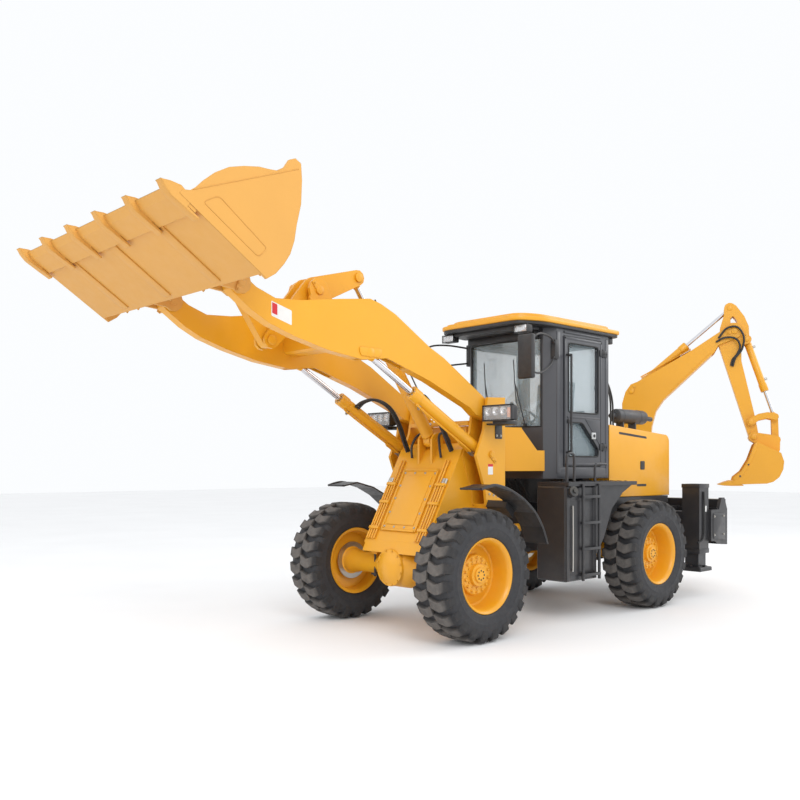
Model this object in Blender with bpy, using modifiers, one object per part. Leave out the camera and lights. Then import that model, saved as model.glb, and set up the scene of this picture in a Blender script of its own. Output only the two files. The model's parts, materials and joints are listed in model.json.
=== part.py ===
"""Articulated backhoe loader: loader at the front, side-shift hoe at the rear, modelled in metres with +Z up.

Machine frame while building: +X forward, +Y to the machine's left, Z = 0 on the ground and X = 0 at the pivot
between the two halves of the chassis. The whole machine is moved at the end, so that the middle of its box stands
on the origin.
"""

import math

import bmesh
import bpy
from mathutils import Matrix, Vector

# ---- driving dimensions, metres and degrees ----
GAP = 0.0003            # between pieces that touch
PLAY = 0.006            # between a pin and its bore
WHEEL_STEPS = 28        # facets of wheels
AXLE_STEPS = 16
SIDES = 12              # facets of pins and tubes

WHEELBASE = 2.832
TRACK = 1.755
TYRE_RADIUS = 0.586
TYRE_WIDTH = 0.405
RIM_RADIUS = 0.3305
RIM_WIDTH = 0.356
AXLE_HEIGHT = 0.586
AXLE_TUBE = 0.10
BANJO_RADIUS = 0.20

FRAME_HALF = 0.42       # half width of the front frame's body
TOWER_INNER = 0.43      # outer face of each inner tower plate
TOWER_OUTER = 0.605     # outer face of each outer tower plate
TOWER_PLATE = 0.03
FENDER_THICK = 0.014
ARM_Y = 0.50            # middle of each loader arm
ARM_THICK = 0.10
ARM_ROOT = (0.80, 2.07)
ARM_TIP = (3.617, 2.89)
LIFT_LOW = (0.85, 1.65)
LIFT_HIGH = (2.33, 2.49)
LIFT_BARREL = 0.055
LIFT_BARREL_LENGTH = 1.08
LIFT_ROD = 0.028

ROCKER_TOP = (2.06, 3.23)
ROCKER_MID = (2.56, 3.04)
ROCKER_LOW = (3.00, 2.578)
TILT_LOW = (1.06, 1.79)
TILT_BARREL = 0.062
TILT_BARREL_LENGTH = 1.12
TILT_ROD = 0.030
LINK_PIN = (-0.15, 0.29)      # on the loader bucket, from its pivot, along and above its floor
BUCKET_ANGLE = 34.0           # the floor of the loader bucket, nose up
BUCKET_HALF = 1.20
BUCKET_SIDE = 0.022
BUCKET_WALL = 0.022
TOOTH_COUNT = 6

REAR_BEAM_HALF = 0.34
REAR_BEAM_LOW = 0.80
REAR_BEAM_HIGH = 1.14
RAIL_HALF = 1.02
RAIL_BACK = -3.04
NECK_HALF = 0.11
EAR_THICK = 0.045

CAB_HALF = 0.60
CAB_FRONT = -0.08
CAB_REAR = -1.12
CAB_FLOOR = 1.41
CAB_TOP = 2.965
CAB_WALL = 0.05
ROOF_THICK = 0.05
DOOR_FRONT = -0.29
DOOR_REAR = -0.98
DOOR_LOW = 1.535
DOOR_TOP = 2.90
DOOR_THICK = 0.045
DOOR_GAP = 0.008
GLASS = 0.006

HOOD_HALF = 0.60
HOOD_FRONT = -1.14
HOOD_REAR = -2.42
HOOD_LOW = 1.19
HOOD_TOP_FRONT = 2.00
HOOD_TOP_REAR = 1.91
HOOD_WALL = 0.03

TANK_INNER = 0.57
TANK_OUTER = 0.93
TANK_FRONT = 0.12
TANK_REAR = -0.40
TANK_LOW = 0.40
TANK_HIGH = 1.34
PLATFORM_REAR = -1.13
PLATFORM_THICK = 0.04

STEER_REAR = (-0.52, 0.22)    # x and y of the steering cylinder's pin on the rear frame
STEER_FRONT = (0.50, 0.30)
STEER_Z = 0.90
STEER_BARREL = 0.040
STEER_BARREL_LENGTH = 0.62
STEER_ROD = 0.022

POST = (-3.38, -0.72)         # x and y of the hoe's swing axis
SWUNG = 118.0                 # direction of the hoe, from +X towards +Y
CARRIAGE_HALF = 0.25
BOOM_FOOT = (0.28, 1.30)      # along the hoe and up, from the swing axis on the ground
BOOM_TIP = (1.50, 3.33)
BOOM_HALF = 0.12
BOOM_CYL_LOW = (0.0, 1.58)
BOOM_CYL_HIGH = (0.125, 2.36)
BOOM_CYL_RADIUS = 0.055
BOOM_BARREL_LENGTH = 0.66
STICK_CYL_LOW = (0.18, 2.565)
STICK_CYL_HIGH = (1.44, 3.637)
STICK_CYL_RADIUS = 0.052
STICK_BARREL_LENGTH = 0.92
STICK_HALF = 0.09
STICK_TIP = (1.735, 1.925)
BUCKET_CYL_TOP = (1.65, 3.213)
BUCKET_CYL_RADIUS = 0.045
BUCKET_BARREL_LENGTH = 0.70
HOE_ROD = 0.024
LEVER_FOOT = (1.70, 2.121)
LEVER_TOP = (1.99, 2.184)
HOE_LINK_LOW = (2.00, 1.883)
HOE_BUCKET_HALF = 0.30
HOE_BUCKET_WALL = 0.018

LEG_X = -2.54
LEG_Y = 0.87
LEG_HOUSING = 0.22
LEG_WALL = 0.018
LEG_PLAY = 0.006
LEG_HOUSING_LOW = 0.51
LEG_HOUSING_HIGH = 1.33
FOOT_LOW = 0.30


# ---- scene and materials ----
def clear_scene():
    for obj in list(bpy.data.objects):
        bpy.data.objects.remove(obj, do_unlink=True)


def collection(name):
    made = bpy.data.collections.new(name)
    bpy.context.scene.collection.children.link(made)
    return made


def material(name, colour, roughness, metallic=0.0, alpha=1.0):
    made = bpy.data.materials.new(name)
    made.use_nodes = True
    shader = made.node_tree.nodes["Principled BSDF"]
    shader.inputs["Base Color"].default_value = (*colour, 1.0)
    shader.inputs["Roughness"].default_value = roughness
    shader.inputs["Metallic"].default_value = metallic
    shader.inputs["Alpha"].default_value = alpha
    return made


# ---- shapes: each returns a mesh object whose place is in its mesh ----
def shape_from(mesh, name="shape"):
    obj = bpy.data.objects.new(name, mesh)
    cutters.objects.link(obj)
    obj.hide_render = True
    obj.display_type = "WIRE"
    return obj


def baked(obj):
    """The object's evaluated mesh as a new shape, with loose seams welded, and the object removed."""
    bpy.context.view_layer.update()
    graph = bpy.context.evaluated_depsgraph_get()
    mesh = bpy.data.meshes.new_from_object(obj.evaluated_get(graph))
    mesh.transform(obj.matrix_world)
    work = bmesh.new()
    work.from_mesh(mesh)
    bmesh.ops.remove_doubles(work, verts=work.verts, dist=1e-5)
    bmesh.ops.recalc_face_normals(work, faces=work.faces)
    work.to_mesh(mesh)
    work.free()
    bpy.data.objects.remove(obj, do_unlink=True)
    return shape_from(mesh)


def box(low, high, bevel=0.0):
    """A block between two opposite corners, with its edges bevelled when asked."""
    mesh = bpy.data.meshes.new("box")
    work = bmesh.new()
    bmesh.ops.create_cube(work, size=1.0)
    size = Vector(high) - Vector(low)
    middle = (Vector(high) + Vector(low)) / 2
    bmesh.ops.scale(work, vec=size, verts=work.verts)
    bmesh.ops.translate(work, vec=middle, verts=work.verts)
    work.to_mesh(mesh)
    work.free()
    made = shape_from(mesh)
    if not bevel:
        return made
    edge = made.modifiers.new("bevel", "BEVEL")
    edge.width = bevel
    edge.segments = 1
    return baked(made)


def rod_between(start, end, radius, end_radius=None, sides=SIDES):
    """A round bar from one point to another, tapered when it has two radii."""
    start, end = Vector(start), Vector(end)
    mesh = bpy.data.meshes.new("rod")
    work = bmesh.new()
    turn = (end - start).to_track_quat("Z", "Y").to_matrix().to_4x4()
    bmesh.ops.create_cone(
        work, cap_ends=True, segments=sides, radius1=radius,
        radius2=radius if end_radius is None else end_radius,
        depth=(end - start).length,
        matrix=Matrix.Translation((start + end) / 2) @ turn,
    )
    work.to_mesh(mesh)
    work.free()
    return shape_from(mesh)


def cross_pin(at, low_y, high_y, radius, sides=SIDES):
    """A round bar along Y through the point (x, z)."""
    return rod_between((at[0], low_y, at[1]), (at[0], high_y, at[1]), radius, sides=sides)


def plate(outline, low_y, high_y):
    """A flat plate with its outline in XZ, standing between two Y values."""
    curve = bpy.data.curves.new("outline", "CURVE")
    curve.dimensions = "2D"
    curve.fill_mode = "BOTH"
    curve.extrude = (high_y - low_y) / 2
    spline = curve.splines.new("POLY")
    spline.points.add(len(outline) - 1)
    for point, (x, z) in zip(spline.points, outline):
        point.co = (x, z, 0, 1)
    spline.use_cyclic_u = True
    obj = bpy.data.objects.new("plate", curve)
    cutters.objects.link(obj)
    obj.rotation_euler = (math.pi / 2, 0, 0)
    obj.location = (0, (low_y + high_y) / 2, 0)
    return baked(obj)


def flat_plate(outline, low_z, high_z):
    """A flat plate with its outline in XY, lying between two heights."""
    made = plate(outline, -high_z, -low_z)
    made.data.transform(Matrix.Rotation(-math.pi / 2, 4, "X"))
    return made


def turned(profile, at, direction, steps=WHEEL_STEPS):
    """A turned solid. The profile holds (radius, height) points from top to bottom of its outer side."""
    mesh = bpy.data.meshes.new("profile")
    points = [(radius, 0, height) for radius, height in profile]
    closed = profile[0][0] > 0
    edges = [(i, i + 1) for i in range(len(points) - 1)]
    if closed:
        edges.append((len(points) - 1, 0))
    mesh.from_pydata(points, edges, [])
    made = shape_from(mesh)
    screw = made.modifiers.new("screw", "SCREW")
    screw.steps = steps
    screw.render_steps = steps
    screw.use_merge_vertices = True
    screw.merge_threshold = 0.0001
    made.matrix_world = Matrix.Translation(at) @ Vector(direction).to_track_quat("Z", "Y").to_matrix().to_4x4()
    return baked(made)


def fused(shapes, cuts=()):
    """All shapes joined into one solid, with the cutters taken out of it."""
    base = shapes[0]
    for other in shapes[1:]:
        join = base.modifiers.new("join", "BOOLEAN")
        join.operation = "UNION"
        join.solver = "EXACT"
        join.object = other
    for cutter in cuts:
        cut = base.modifiers.new("cut", "BOOLEAN")
        cut.operation = "DIFFERENCE"
        cut.solver = "EXACT"
        cut.object = cutter
    made = baked(base)
    for other in [*shapes[1:], *cuts]:
        bpy.data.objects.remove(other, do_unlink=True)
    return made


def mirrored(build):
    """The shapes that build(side) gives for the left side (+1) and the right side (-1)."""
    return [shape for side in (1, -1) for shape in build(side)]


def span(side, inner, outer):
    """Two Y values in rising order, for a piece between two distances from the middle on one side."""
    return tuple(sorted((side * inner, side * outer)))


# ---- outlines ----
def arc(middle, radius, start, end, steps):
    """Points along an arc, by degrees from +X towards +Z."""
    turns = [math.radians(start + (end - start) * i / steps) for i in range(steps + 1)]
    return [(middle[0] + radius * math.cos(a), middle[1] + radius * math.sin(a)) for a in turns]


def capsule(start, end, start_radius, end_radius, steps=5):
    """The outline round two discs joined by their outer sides."""
    facing = math.degrees(math.atan2(end[1] - start[1], end[0] - start[0]))
    return [
        *arc(start, start_radius, facing + 90, facing + 270, steps),
        *arc(end, end_radius, facing - 90, facing + 90, steps),
    ]


def along(start, end, distance):
    """The point at a distance from the start on the way to the end."""
    length = math.dist(start, end)
    return tuple(a + (b - a) * distance / length for a, b in zip(start, end))


# ---- nodes and joint empties ----
def pivot(name, at, parent=None, turn=None):
    """An empty on a joint's axis. Its place is given in the machine frame, or in the turned frame given."""
    made = bpy.data.objects.new(name, None)
    made.empty_display_size = 0.15
    product.objects.link(made)
    world = (turn or Matrix.Identity(4)) @ Matrix.Translation(at)
    made.parent = parent
    bpy.context.view_layer.update()
    made.matrix_basis = (parent.matrix_world.inverted() if parent else Matrix.Identity(4)) @ world
    bpy.context.view_layer.update()
    return made


def node(name, shape, finish, parent, turn=None):
    """Turns a shape into a named sub-part under its joint's empty."""
    shape.name = name
    shape.data.name = name
    world = turn or Matrix.Identity(4)
    shape.data.transform(parent.matrix_world.inverted() @ world)
    cutters.objects.unlink(shape)
    product.objects.link(shape)
    shape.hide_render = False
    shape.display_type = "TEXTURED"
    shape.parent = parent
    shape.data.materials.clear()
    shape.data.materials.append(finish)
    shape.data.shade_smooth()
    shape.data.set_sharp_from_angle(angle=math.radians(35))
    return shape


# ---- cylinders ----
def barrel_shape(low, high, y, radius, length, eye_half, eye_radius):
    """A hydraulic barrel in the XZ plane at one Y: its eye on the low pin, then the tube and its gland."""
    tube_start = along(low, high, eye_radius * 0.7)
    tube_end = along(low, high, length)
    gland = along(low, high, length - 0.06)
    at = lambda p: (p[0], y, p[1])
    return fused([
        rod_between(at(tube_start), at(tube_end), radius),
        rod_between(at(gland), at(along(low, high, length + 0.02)), radius * 1.12),
        cross_pin(low, y - eye_half, y + eye_half, eye_radius),
    ])


def hollow_barrel(low, high, y, radius, bore, length, eye_half, eye_radius):
    """A hydraulic barrel whose bore lets the rod slide in, open at its gland."""
    solid = barrel_shape(low, high, y, radius, length, eye_half, eye_radius)
    at = lambda p: (p[0], y, p[1])
    return fused([solid], [rod_between(at(along(low, high, eye_radius * 1.6)),
                                       at(along(low, high, length + 0.1)), bore, sides=12)])


def long_rod(low, high, y, radius, inside, eye_half, eye_radius):
    """A piston rod that starts inside its barrel, a distance from the barrel's pin, and ends in its eye."""
    at = lambda p: (p[0], y, p[1])
    neck = along(low, high, math.dist(low, high) - eye_radius * 0.7)
    return fused([
        rod_between(at(along(low, high, inside)), at(neck), radius, sides=12),
        cross_pin(high, y - eye_half, y + eye_half, eye_radius),
    ])


# ---- wheels and axles ----
def wheel(name, x, side, parent):
    at = (x, side * TRACK / 2, AXLE_HEIGHT)
    hub = pivot(f"{name}_pivot", at, parent)
    half = TYRE_WIDTH / 2
    rim = RIM_WIDTH / 2
    seat = RIM_RADIUS - 0.028
    bead = rim - 0.016
    tyre_profile = [
        (seat + GAP, bead - GAP), (RIM_RADIUS + 0.003, bead - GAP), (RIM_RADIUS + 0.05, half - 0.012),
        (TYRE_RADIUS - 0.12, half), (TYRE_RADIUS - 0.035, half - 0.012), (TYRE_RADIUS, half - 0.045),
    ]
    tyre_profile += [(radius, -height) for radius, height in reversed(tyre_profile)]
    outward = (0, side, 0)
    node(f"tyre_{name}", turned(tyre_profile, at, outward), rubber, hub)
    rim_profile = [
        (0, 0.095), (0.10, 0.095), (0.125, 0.07), (0.125, -0.02), (RIM_RADIUS - 0.05, -0.03),
        (RIM_RADIUS - 0.046, bead), (RIM_RADIUS - 0.012, rim), (RIM_RADIUS, bead), (seat, bead),
        (seat, -bead), (RIM_RADIUS, -bead), (RIM_RADIUS - 0.012, -rim),
        (RIM_RADIUS - 0.046, -bead), (RIM_RADIUS - 0.05, -0.06), (0, -0.06),
    ]
    node(f"rim_{name}", turned(rim_profile, at, outward), yellow, hub)


def axle(name, x, parent):
    """A banjo axle: round middle housing, tapering tubes and a hub flange behind each wheel."""
    end = TRACK / 2 - 0.075
    half_profile = [
        (0, end), (0.17, end), (0.17, end - 0.03), (0.12, end - 0.04), (0.12, end - 0.14),
        (AXLE_TUBE, end - 0.16), (AXLE_TUBE, 0.27), (BANJO_RADIUS, 0.12),
    ]
    profile = half_profile + [(radius, -y) for radius, y in reversed(half_profile)]
    node(name, turned(profile, (x, 0, AXLE_HEIGHT), (0, 1, 0), AXLE_STEPS), yellow, parent)


# ---- rear chassis ----
def rear_frame(parent):
    ear = 0.16
    high_ear = (REAR_BEAM_HIGH - EAR_THICK, REAR_BEAM_HIGH)
    low_ear = (0.62, 0.62 + EAR_THICK)
    shapes = [
        box((-2.66, -REAR_BEAM_HALF, REAR_BEAM_LOW), (-0.62, REAR_BEAM_HALF, REAR_BEAM_HIGH), 0.01),
        box((-0.66, -NECK_HALF, 0.62), (-0.27, NECK_HALF, REAR_BEAM_HIGH)),
        box((-0.90, -NECK_HALF * 1.8, 0.66), (-0.60, NECK_HALF * 1.8, 0.90)),
    ]
    for low, high in (high_ear, low_ear):
        outline = [(-0.30, -ear), *arc((0, 0), ear * 0.8, -90, 90, 8), (-0.30, ear)]
        shapes.append(flat_plate(outline, low, high))
        shapes.append(rod_between((0, 0, low - 0.05 if low == low_ear[0] else low - EAR_THICK - 0.012),
                                  (0, 0, high + EAR_THICK + 0.012 if low == low_ear[0] else high + 0.03), 0.04))
    shapes.append(box((HOOD_REAR + 0.02, -HOOD_HALF + 0.01, REAR_BEAM_HIGH - 0.03),
                      (HOOD_FRONT - 0.02, HOOD_HALF - 0.01, HOOD_LOW - GAP)))
    shapes += mirrored(lambda side: [
        box((-1.416 - 0.11, span(side, 0.28, 0.36)[0], AXLE_HEIGHT + AXLE_TUBE + GAP),
            (-1.416 + 0.11, span(side, 0.28, 0.36)[1], REAR_BEAM_LOW + 0.02)),
        box((STEER_REAR[0] - 0.05, span(side, 0.05, STEER_REAR[1] + 0.045)[0], STEER_Z + 0.046),
            (STEER_REAR[0] + 0.05, span(side, 0.05, STEER_REAR[1] + 0.045)[1], STEER_Z + 0.066)),
        box((STEER_REAR[0] - 0.05, span(side, 0.05, STEER_REAR[1] + 0.045)[0], STEER_Z - 0.066),
            (STEER_REAR[0] + 0.05, span(side, 0.05, STEER_REAR[1] + 0.045)[1], STEER_Z - 0.046)),
        box((-0.80, span(side, 0.30, TANK_INNER - GAP)[0], 1.02), (-0.66, span(side, 0.30, TANK_INNER - GAP)[1], 1.12)),
    ])
    # cab feet on the beam and on the neck
    shapes.append(box((-1.05, -0.40, REAR_BEAM_HIGH - 0.02), (-0.92, 0.40, CAB_FLOOR - GAP)))
    shapes.append(box((-0.66, -0.40, REAR_BEAM_HIGH - 0.02), (-0.55, 0.40, CAB_FLOOR - GAP)))
    # cross rails that the hoe slides on, with their end plates and back sheet
    end_outline = [(-2.64, 1.02), (-2.83, 1.02), (-2.90, 1.16), (-2.97, 1.16), (RAIL_BACK, 1.02),
                   (RAIL_BACK, 0.59), (-2.89, 0.60), (-2.80, 0.64), (-2.64, 0.65)]
    shapes += mirrored(lambda side: [plate(end_outline, *span(side, RAIL_HALF - 0.04, RAIL_HALF))])
    shapes.append(box((RAIL_BACK + 0.002, -RAIL_HALF + 0.02, 1.00), (-2.90, RAIL_HALF - 0.02, 1.14)))
    shapes.append(box((RAIL_BACK + 0.002, -RAIL_HALF + 0.02, 0.60), (-2.90, RAIL_HALF - 0.02, 0.70)))
    shapes.append(box((-2.86, -RAIL_HALF + 0.02, 0.64), (-2.82, RAIL_HALF - 0.02, 1.04)))
    shapes += mirrored(lambda side: [
        box((-2.95, span(side, 0.44, 0.48)[0], 0.63), (-2.64, span(side, 0.44, 0.48)[1], 1.05)),
    ])
    # stabiliser housings, open at both ends for the legs
    half = LEG_HOUSING / 2
    shapes += mirrored(lambda side: [
        box((LEG_X - half, side * LEG_Y - half, LEG_HOUSING_LOW), (LEG_X + half, side * LEG_Y + half, LEG_HOUSING_HIGH)),
        box((LEG_X - half + 0.01, span(side, 0.30, LEG_Y - 0.06)[0], 0.82),
            (LEG_X + half - 0.01, span(side, 0.30, LEG_Y - 0.06)[1], 1.00)),
        box((-2.90, span(side, LEG_Y - half + 0.01, LEG_Y + half - 0.01)[0], 0.68),
            (LEG_X - half + 0.01, span(side, LEG_Y - half + 0.01, LEG_Y + half - 0.01)[1], 0.98)),
    ])
    inside = half - LEG_WALL
    cuts = mirrored(lambda side: [
        box((LEG_X - inside, side * LEG_Y - inside, 0.2), (LEG_X + inside, side * LEG_Y + inside, 1.6)),
    ])
    node("rear_frame", fused(shapes, cuts), black, parent)


def cab(parent):
    low, high = CAB_FLOOR, CAB_TOP
    plan = [(CAB_REAR, -CAB_HALF), (CAB_REAR, CAB_HALF), (CAB_FRONT - 0.10, CAB_HALF),
            (CAB_FRONT, CAB_HALF - 0.10), (CAB_FRONT + 0.06, 0), (CAB_FRONT, -CAB_HALF + 0.10),
            (CAB_FRONT - 0.10, -CAB_HALF)]
    inner = [(x + (CAB_WALL if x < -0.6 else -CAB_WALL), y - math.copysign(CAB_WALL, y) if y else 0) for x, y in plan]
    shell = flat_plate(plan, low, high)
    hollow = flat_plate(inner, low + 0.06, high - 0.05)
    cuts = [
        hollow,
        # windscreen, from pillar to pillar
        box((CAB_FRONT - 0.07, -CAB_HALF + 0.12, 1.95), (0.3, CAB_HALF - 0.12, 2.86)),
        # rear window
        box((CAB_REAR - 0.1, -CAB_HALF + 0.10, 2.05), (CAB_REAR + 0.1, CAB_HALF - 0.10, 2.86)),
        # right side window
        box((-1.02, -CAB_HALF - 0.1, 2.0), (-0.22, -CAB_HALF + 0.1, 2.86)),
        # door way
        box((DOOR_REAR, CAB_HALF - 0.1, DOOR_LOW), (DOOR_FRONT, CAB_HALF + 0.1, DOOR_TOP)),
    ]
    node("cab_frame", fused([shell], cuts), dark_grey, parent)
    front_edge = 0.38
    roof_plan = [(-1.31, -0.62), (-1.31, 0.62), (-1.25, 0.66), (0.0, 0.66), (0.30, 0.60), (front_edge, 0.54),
                 (front_edge, -0.54), (0.30, -0.60), (0.0, -0.66), (-1.25, -0.66)]
    roof = flat_plate(roof_plan, high + GAP, high + 0.085)
    crown = flat_plate([(x * 0.92 - 0.03, y * 0.86) for x, y in roof_plan], high + 0.02, high + 0.125)
    node("cab_roof", fused([roof, crown]), yellow, parent)
    # windows: one pane each, set in from the frame's outer face
    gap = 0.004
    pane_x = CAB_REAR + 0.015
    node("rear_window", box((pane_x, -CAB_HALF + 0.10 + gap, 2.05 + gap),
                            (pane_x + GLASS, CAB_HALF - 0.10 - gap, 2.86 - gap)), glass, parent)
    pane_y = -CAB_HALF + 0.015
    node("side_window", box((-1.02 + gap, pane_y, 2.0 + gap), (-0.22 - gap, pane_y + GLASS, 2.86 - gap)), glass, parent)
    half = CAB_HALF - 0.12 - gap
    slope = 0.06 / (CAB_HALF - 0.10)
    front = CAB_FRONT + 0.06 - 0.015
    screen = [(front - slope * half, -half), (front, 0), (front - slope * half, half),
              (front - slope * half - GLASS, half), (front - GLASS, 0), (front - slope * half - GLASS, -half)]
    node("windscreen", flat_plate(screen, 1.95 + gap, 2.86 - gap), glass, parent)


def cab_door(parent):
    hinge = pivot("cab_door_pivot", (DOOR_REAR + 0.012, CAB_HALF + 0.02, DOOR_LOW), parent)
    low_x, high_x = DOOR_REAR + DOOR_GAP, DOOR_FRONT - DOOR_GAP
    low, high = DOOR_LOW + DOOR_GAP, DOOR_TOP - DOOR_GAP
    inner, outer = CAB_HALF + 0.012 - DOOR_THICK, CAB_HALF + 0.012
    panel = box((low_x, inner, low), (high_x, outer, high))
    rail = 0.065
    upper = box((low_x + rail, inner - 0.1, 2.10), (high_x - rail, outer + 0.1, high - rail))
    lower = plate([(low_x + rail, 1.64), (high_x - rail, 1.64), (high_x - rail, 2.00), (low_x + 0.36, 2.00),
                   (low_x + rail, 1.72)][::-1], inner - 0.1, outer + 0.1)
    node("cab_door", fused([panel], [upper, lower]), dark_grey, hinge)
    sheet = box((low_x + 0.03, inner - GAP - GLASS, 1.60), (high_x - 0.03, inner - GAP, high - 0.03))
    node("door_glass", sheet, glass, hinge)


def cab_inside(parent):
    floor = CAB_FLOOR + 0.06 + GAP
    seat = fused([
        box((-0.92, -0.16, floor), (-0.58, 0.16, floor + 0.30), 0.02),
        box((-0.98, -0.25, floor + 0.28), (-0.48, 0.25, floor + 0.42), 0.03),
        plate([(-0.97, floor + 0.34), (-0.86, floor + 0.34), (-0.92, floor + 1.02), (-1.00, floor + 1.02)],
              -0.24, 0.24),
    ])
    node("driver_seat", seat, fabric, parent)
    hub = Vector((-0.33, 0, floor + 0.62))
    tilt = Vector((0.5, 0, -1)).normalized()
    console = fused([
        plate([(-0.13, floor), (-0.13, floor + 0.46), (-0.20, floor + 0.56), (-0.27, floor + 0.50), (-0.25, floor)],
              -0.20, 0.20),
        rod_between(hub, hub + tilt * 0.26, 0.022, sides=10),
        rod_between(hub - tilt * 0.012, hub + tilt * 0.018, 0.16, sides=20),
    ])
    node("steering_console", console, black, parent)


def cab_cowl(parent):
    front, rear = 0.42, CAB_FRONT + 0.06 + 0.01
    low = 1.49
    plan = [(front, -0.38), (front, 0.38), (CAB_FRONT + 0.012, CAB_HALF - 0.07), (CAB_FRONT + 0.012, CAB_HALF - 0.11),
            (rear, 0), (CAB_FRONT + 0.012, -CAB_HALF + 0.11), (CAB_FRONT + 0.012, -CAB_HALF + 0.07)][::-1]
    body = flat_plate(plan, low, 1.93)
    side_cut = plate([(-0.3, 1.70), (0.02, 1.70), (0.20, 1.92), (0.20, 2.2), (-0.3, 2.2)], -0.8, 0.8)
    middle = box((-0.3, -0.24, 1.72), (0.8, 0.24, 2.2))
    node("cab_cowl", fused([body], [side_cut, middle]), yellow, parent)


def engine_bay(parent):
    outline = [(HOOD_FRONT, HOOD_LOW), (HOOD_FRONT, HOOD_TOP_FRONT), (HOOD_REAR + 0.08, HOOD_TOP_REAR + 0.005),
               *arc((HOOD_REAR + 0.08, HOOD_TOP_REAR - 0.075), 0.08, 90, 180, 4)[1:], (HOOD_REAR, HOOD_LOW)]
    inner = [(HOOD_FRONT - HOOD_WALL, HOOD_LOW - 0.1), (HOOD_FRONT - HOOD_WALL, HOOD_TOP_FRONT - HOOD_WALL),
             (HOOD_REAR + HOOD_WALL + 0.03, HOOD_TOP_REAR - HOOD_WALL), (HOOD_REAR + HOOD_WALL, HOOD_LOW - 0.1)]
    shell = plate(outline, -HOOD_HALF, HOOD_HALF)
    cavity = plate(inner, -HOOD_HALF + HOOD_WALL, HOOD_HALF - HOOD_WALL)
    node("engine_hood", fused([shell], [cavity]), yellow, parent)
    block = box((-2.15, -0.32, HOOD_LOW + GAP), (-1.30, 0.32, 1.82), 0.03)
    node("engine_block", block, iron, parent)
    y, z, radius = 0.30, 2.13, 0.085
    slope = (HOOD_TOP_FRONT - HOOD_TOP_REAR) / (HOOD_FRONT - HOOD_REAR - 0.08)
    top = lambda x: HOOD_TOP_FRONT + slope * (x - HOOD_FRONT) + 0.004
    bracket = plate([(-2.10, top(-2.10)), (-1.80, top(-1.80)), (-1.84, z), (-2.06, z)], y - 0.05, y + 0.05)
    muffler = fused([
        rod_between((-1.70, y, z), (-2.32, y, z), radius, sides=20),
        rod_between((-2.30, y, z), (-2.36, y, z), radius * 0.8, 0.035),
        rod_between((-2.34, y, z), (-2.50, y, z - 0.01), 0.028),
        rod_between((-1.72, y, z), (-1.62, y, z), 0.03),
        bracket,
    ])
    node("muffler", muffler, grey_steel, parent)


def tank(name, side, parent):
    """A side tank under the cab, with the step plate over the rear wheel."""
    low_y, high_y = span(side, TANK_INNER, TANK_OUTER)
    gusset = [(TANK_REAR + 0.02, TANK_HIGH + 0.01), (PLATFORM_REAR + 0.03, TANK_HIGH + 0.01),
              (-0.90, 1.26), (-0.70, 1.10), (-0.55, 0.80), (TANK_REAR + 0.02, 0.60)]
    shapes = [
        box((TANK_REAR, low_y, TANK_LOW), (TANK_FRONT, high_y, TANK_HIGH), 0.015),
        box((PLATFORM_REAR, low_y, TANK_HIGH), (TANK_FRONT - 0.02, high_y + (0.02 if side > 0 else 0),
                                               TANK_HIGH + PLATFORM_THICK)),
        plate(gusset, *span(side, TANK_OUTER - 0.05, TANK_OUTER - 0.01)),
    ]
    if side > 0:
        for x in (-0.12, -0.40):
            shapes.append(rod_between((x, TANK_OUTER + 0.035, 0.40), (x, TANK_OUTER + 0.035, 1.36), 0.014, sides=8))
        for z in (0.44, 0.70, 0.96, 1.22):
            shapes.append(box((-0.41, TANK_OUTER + 0.02, z), (-0.11, TANK_OUTER + 0.05, z + 0.025)))
            shapes.append(box((-0.27, TANK_OUTER - 0.02, z + 0.003), (-0.23, TANK_OUTER + 0.03, z + 0.022)))
        shapes.append(rod_between((0.04, TANK_OUTER - 0.06, 1.24), (0.07, TANK_OUTER + 0.06, 1.30), 0.045, sides=12))
    node(name, fused(shapes), black, parent)


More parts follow.
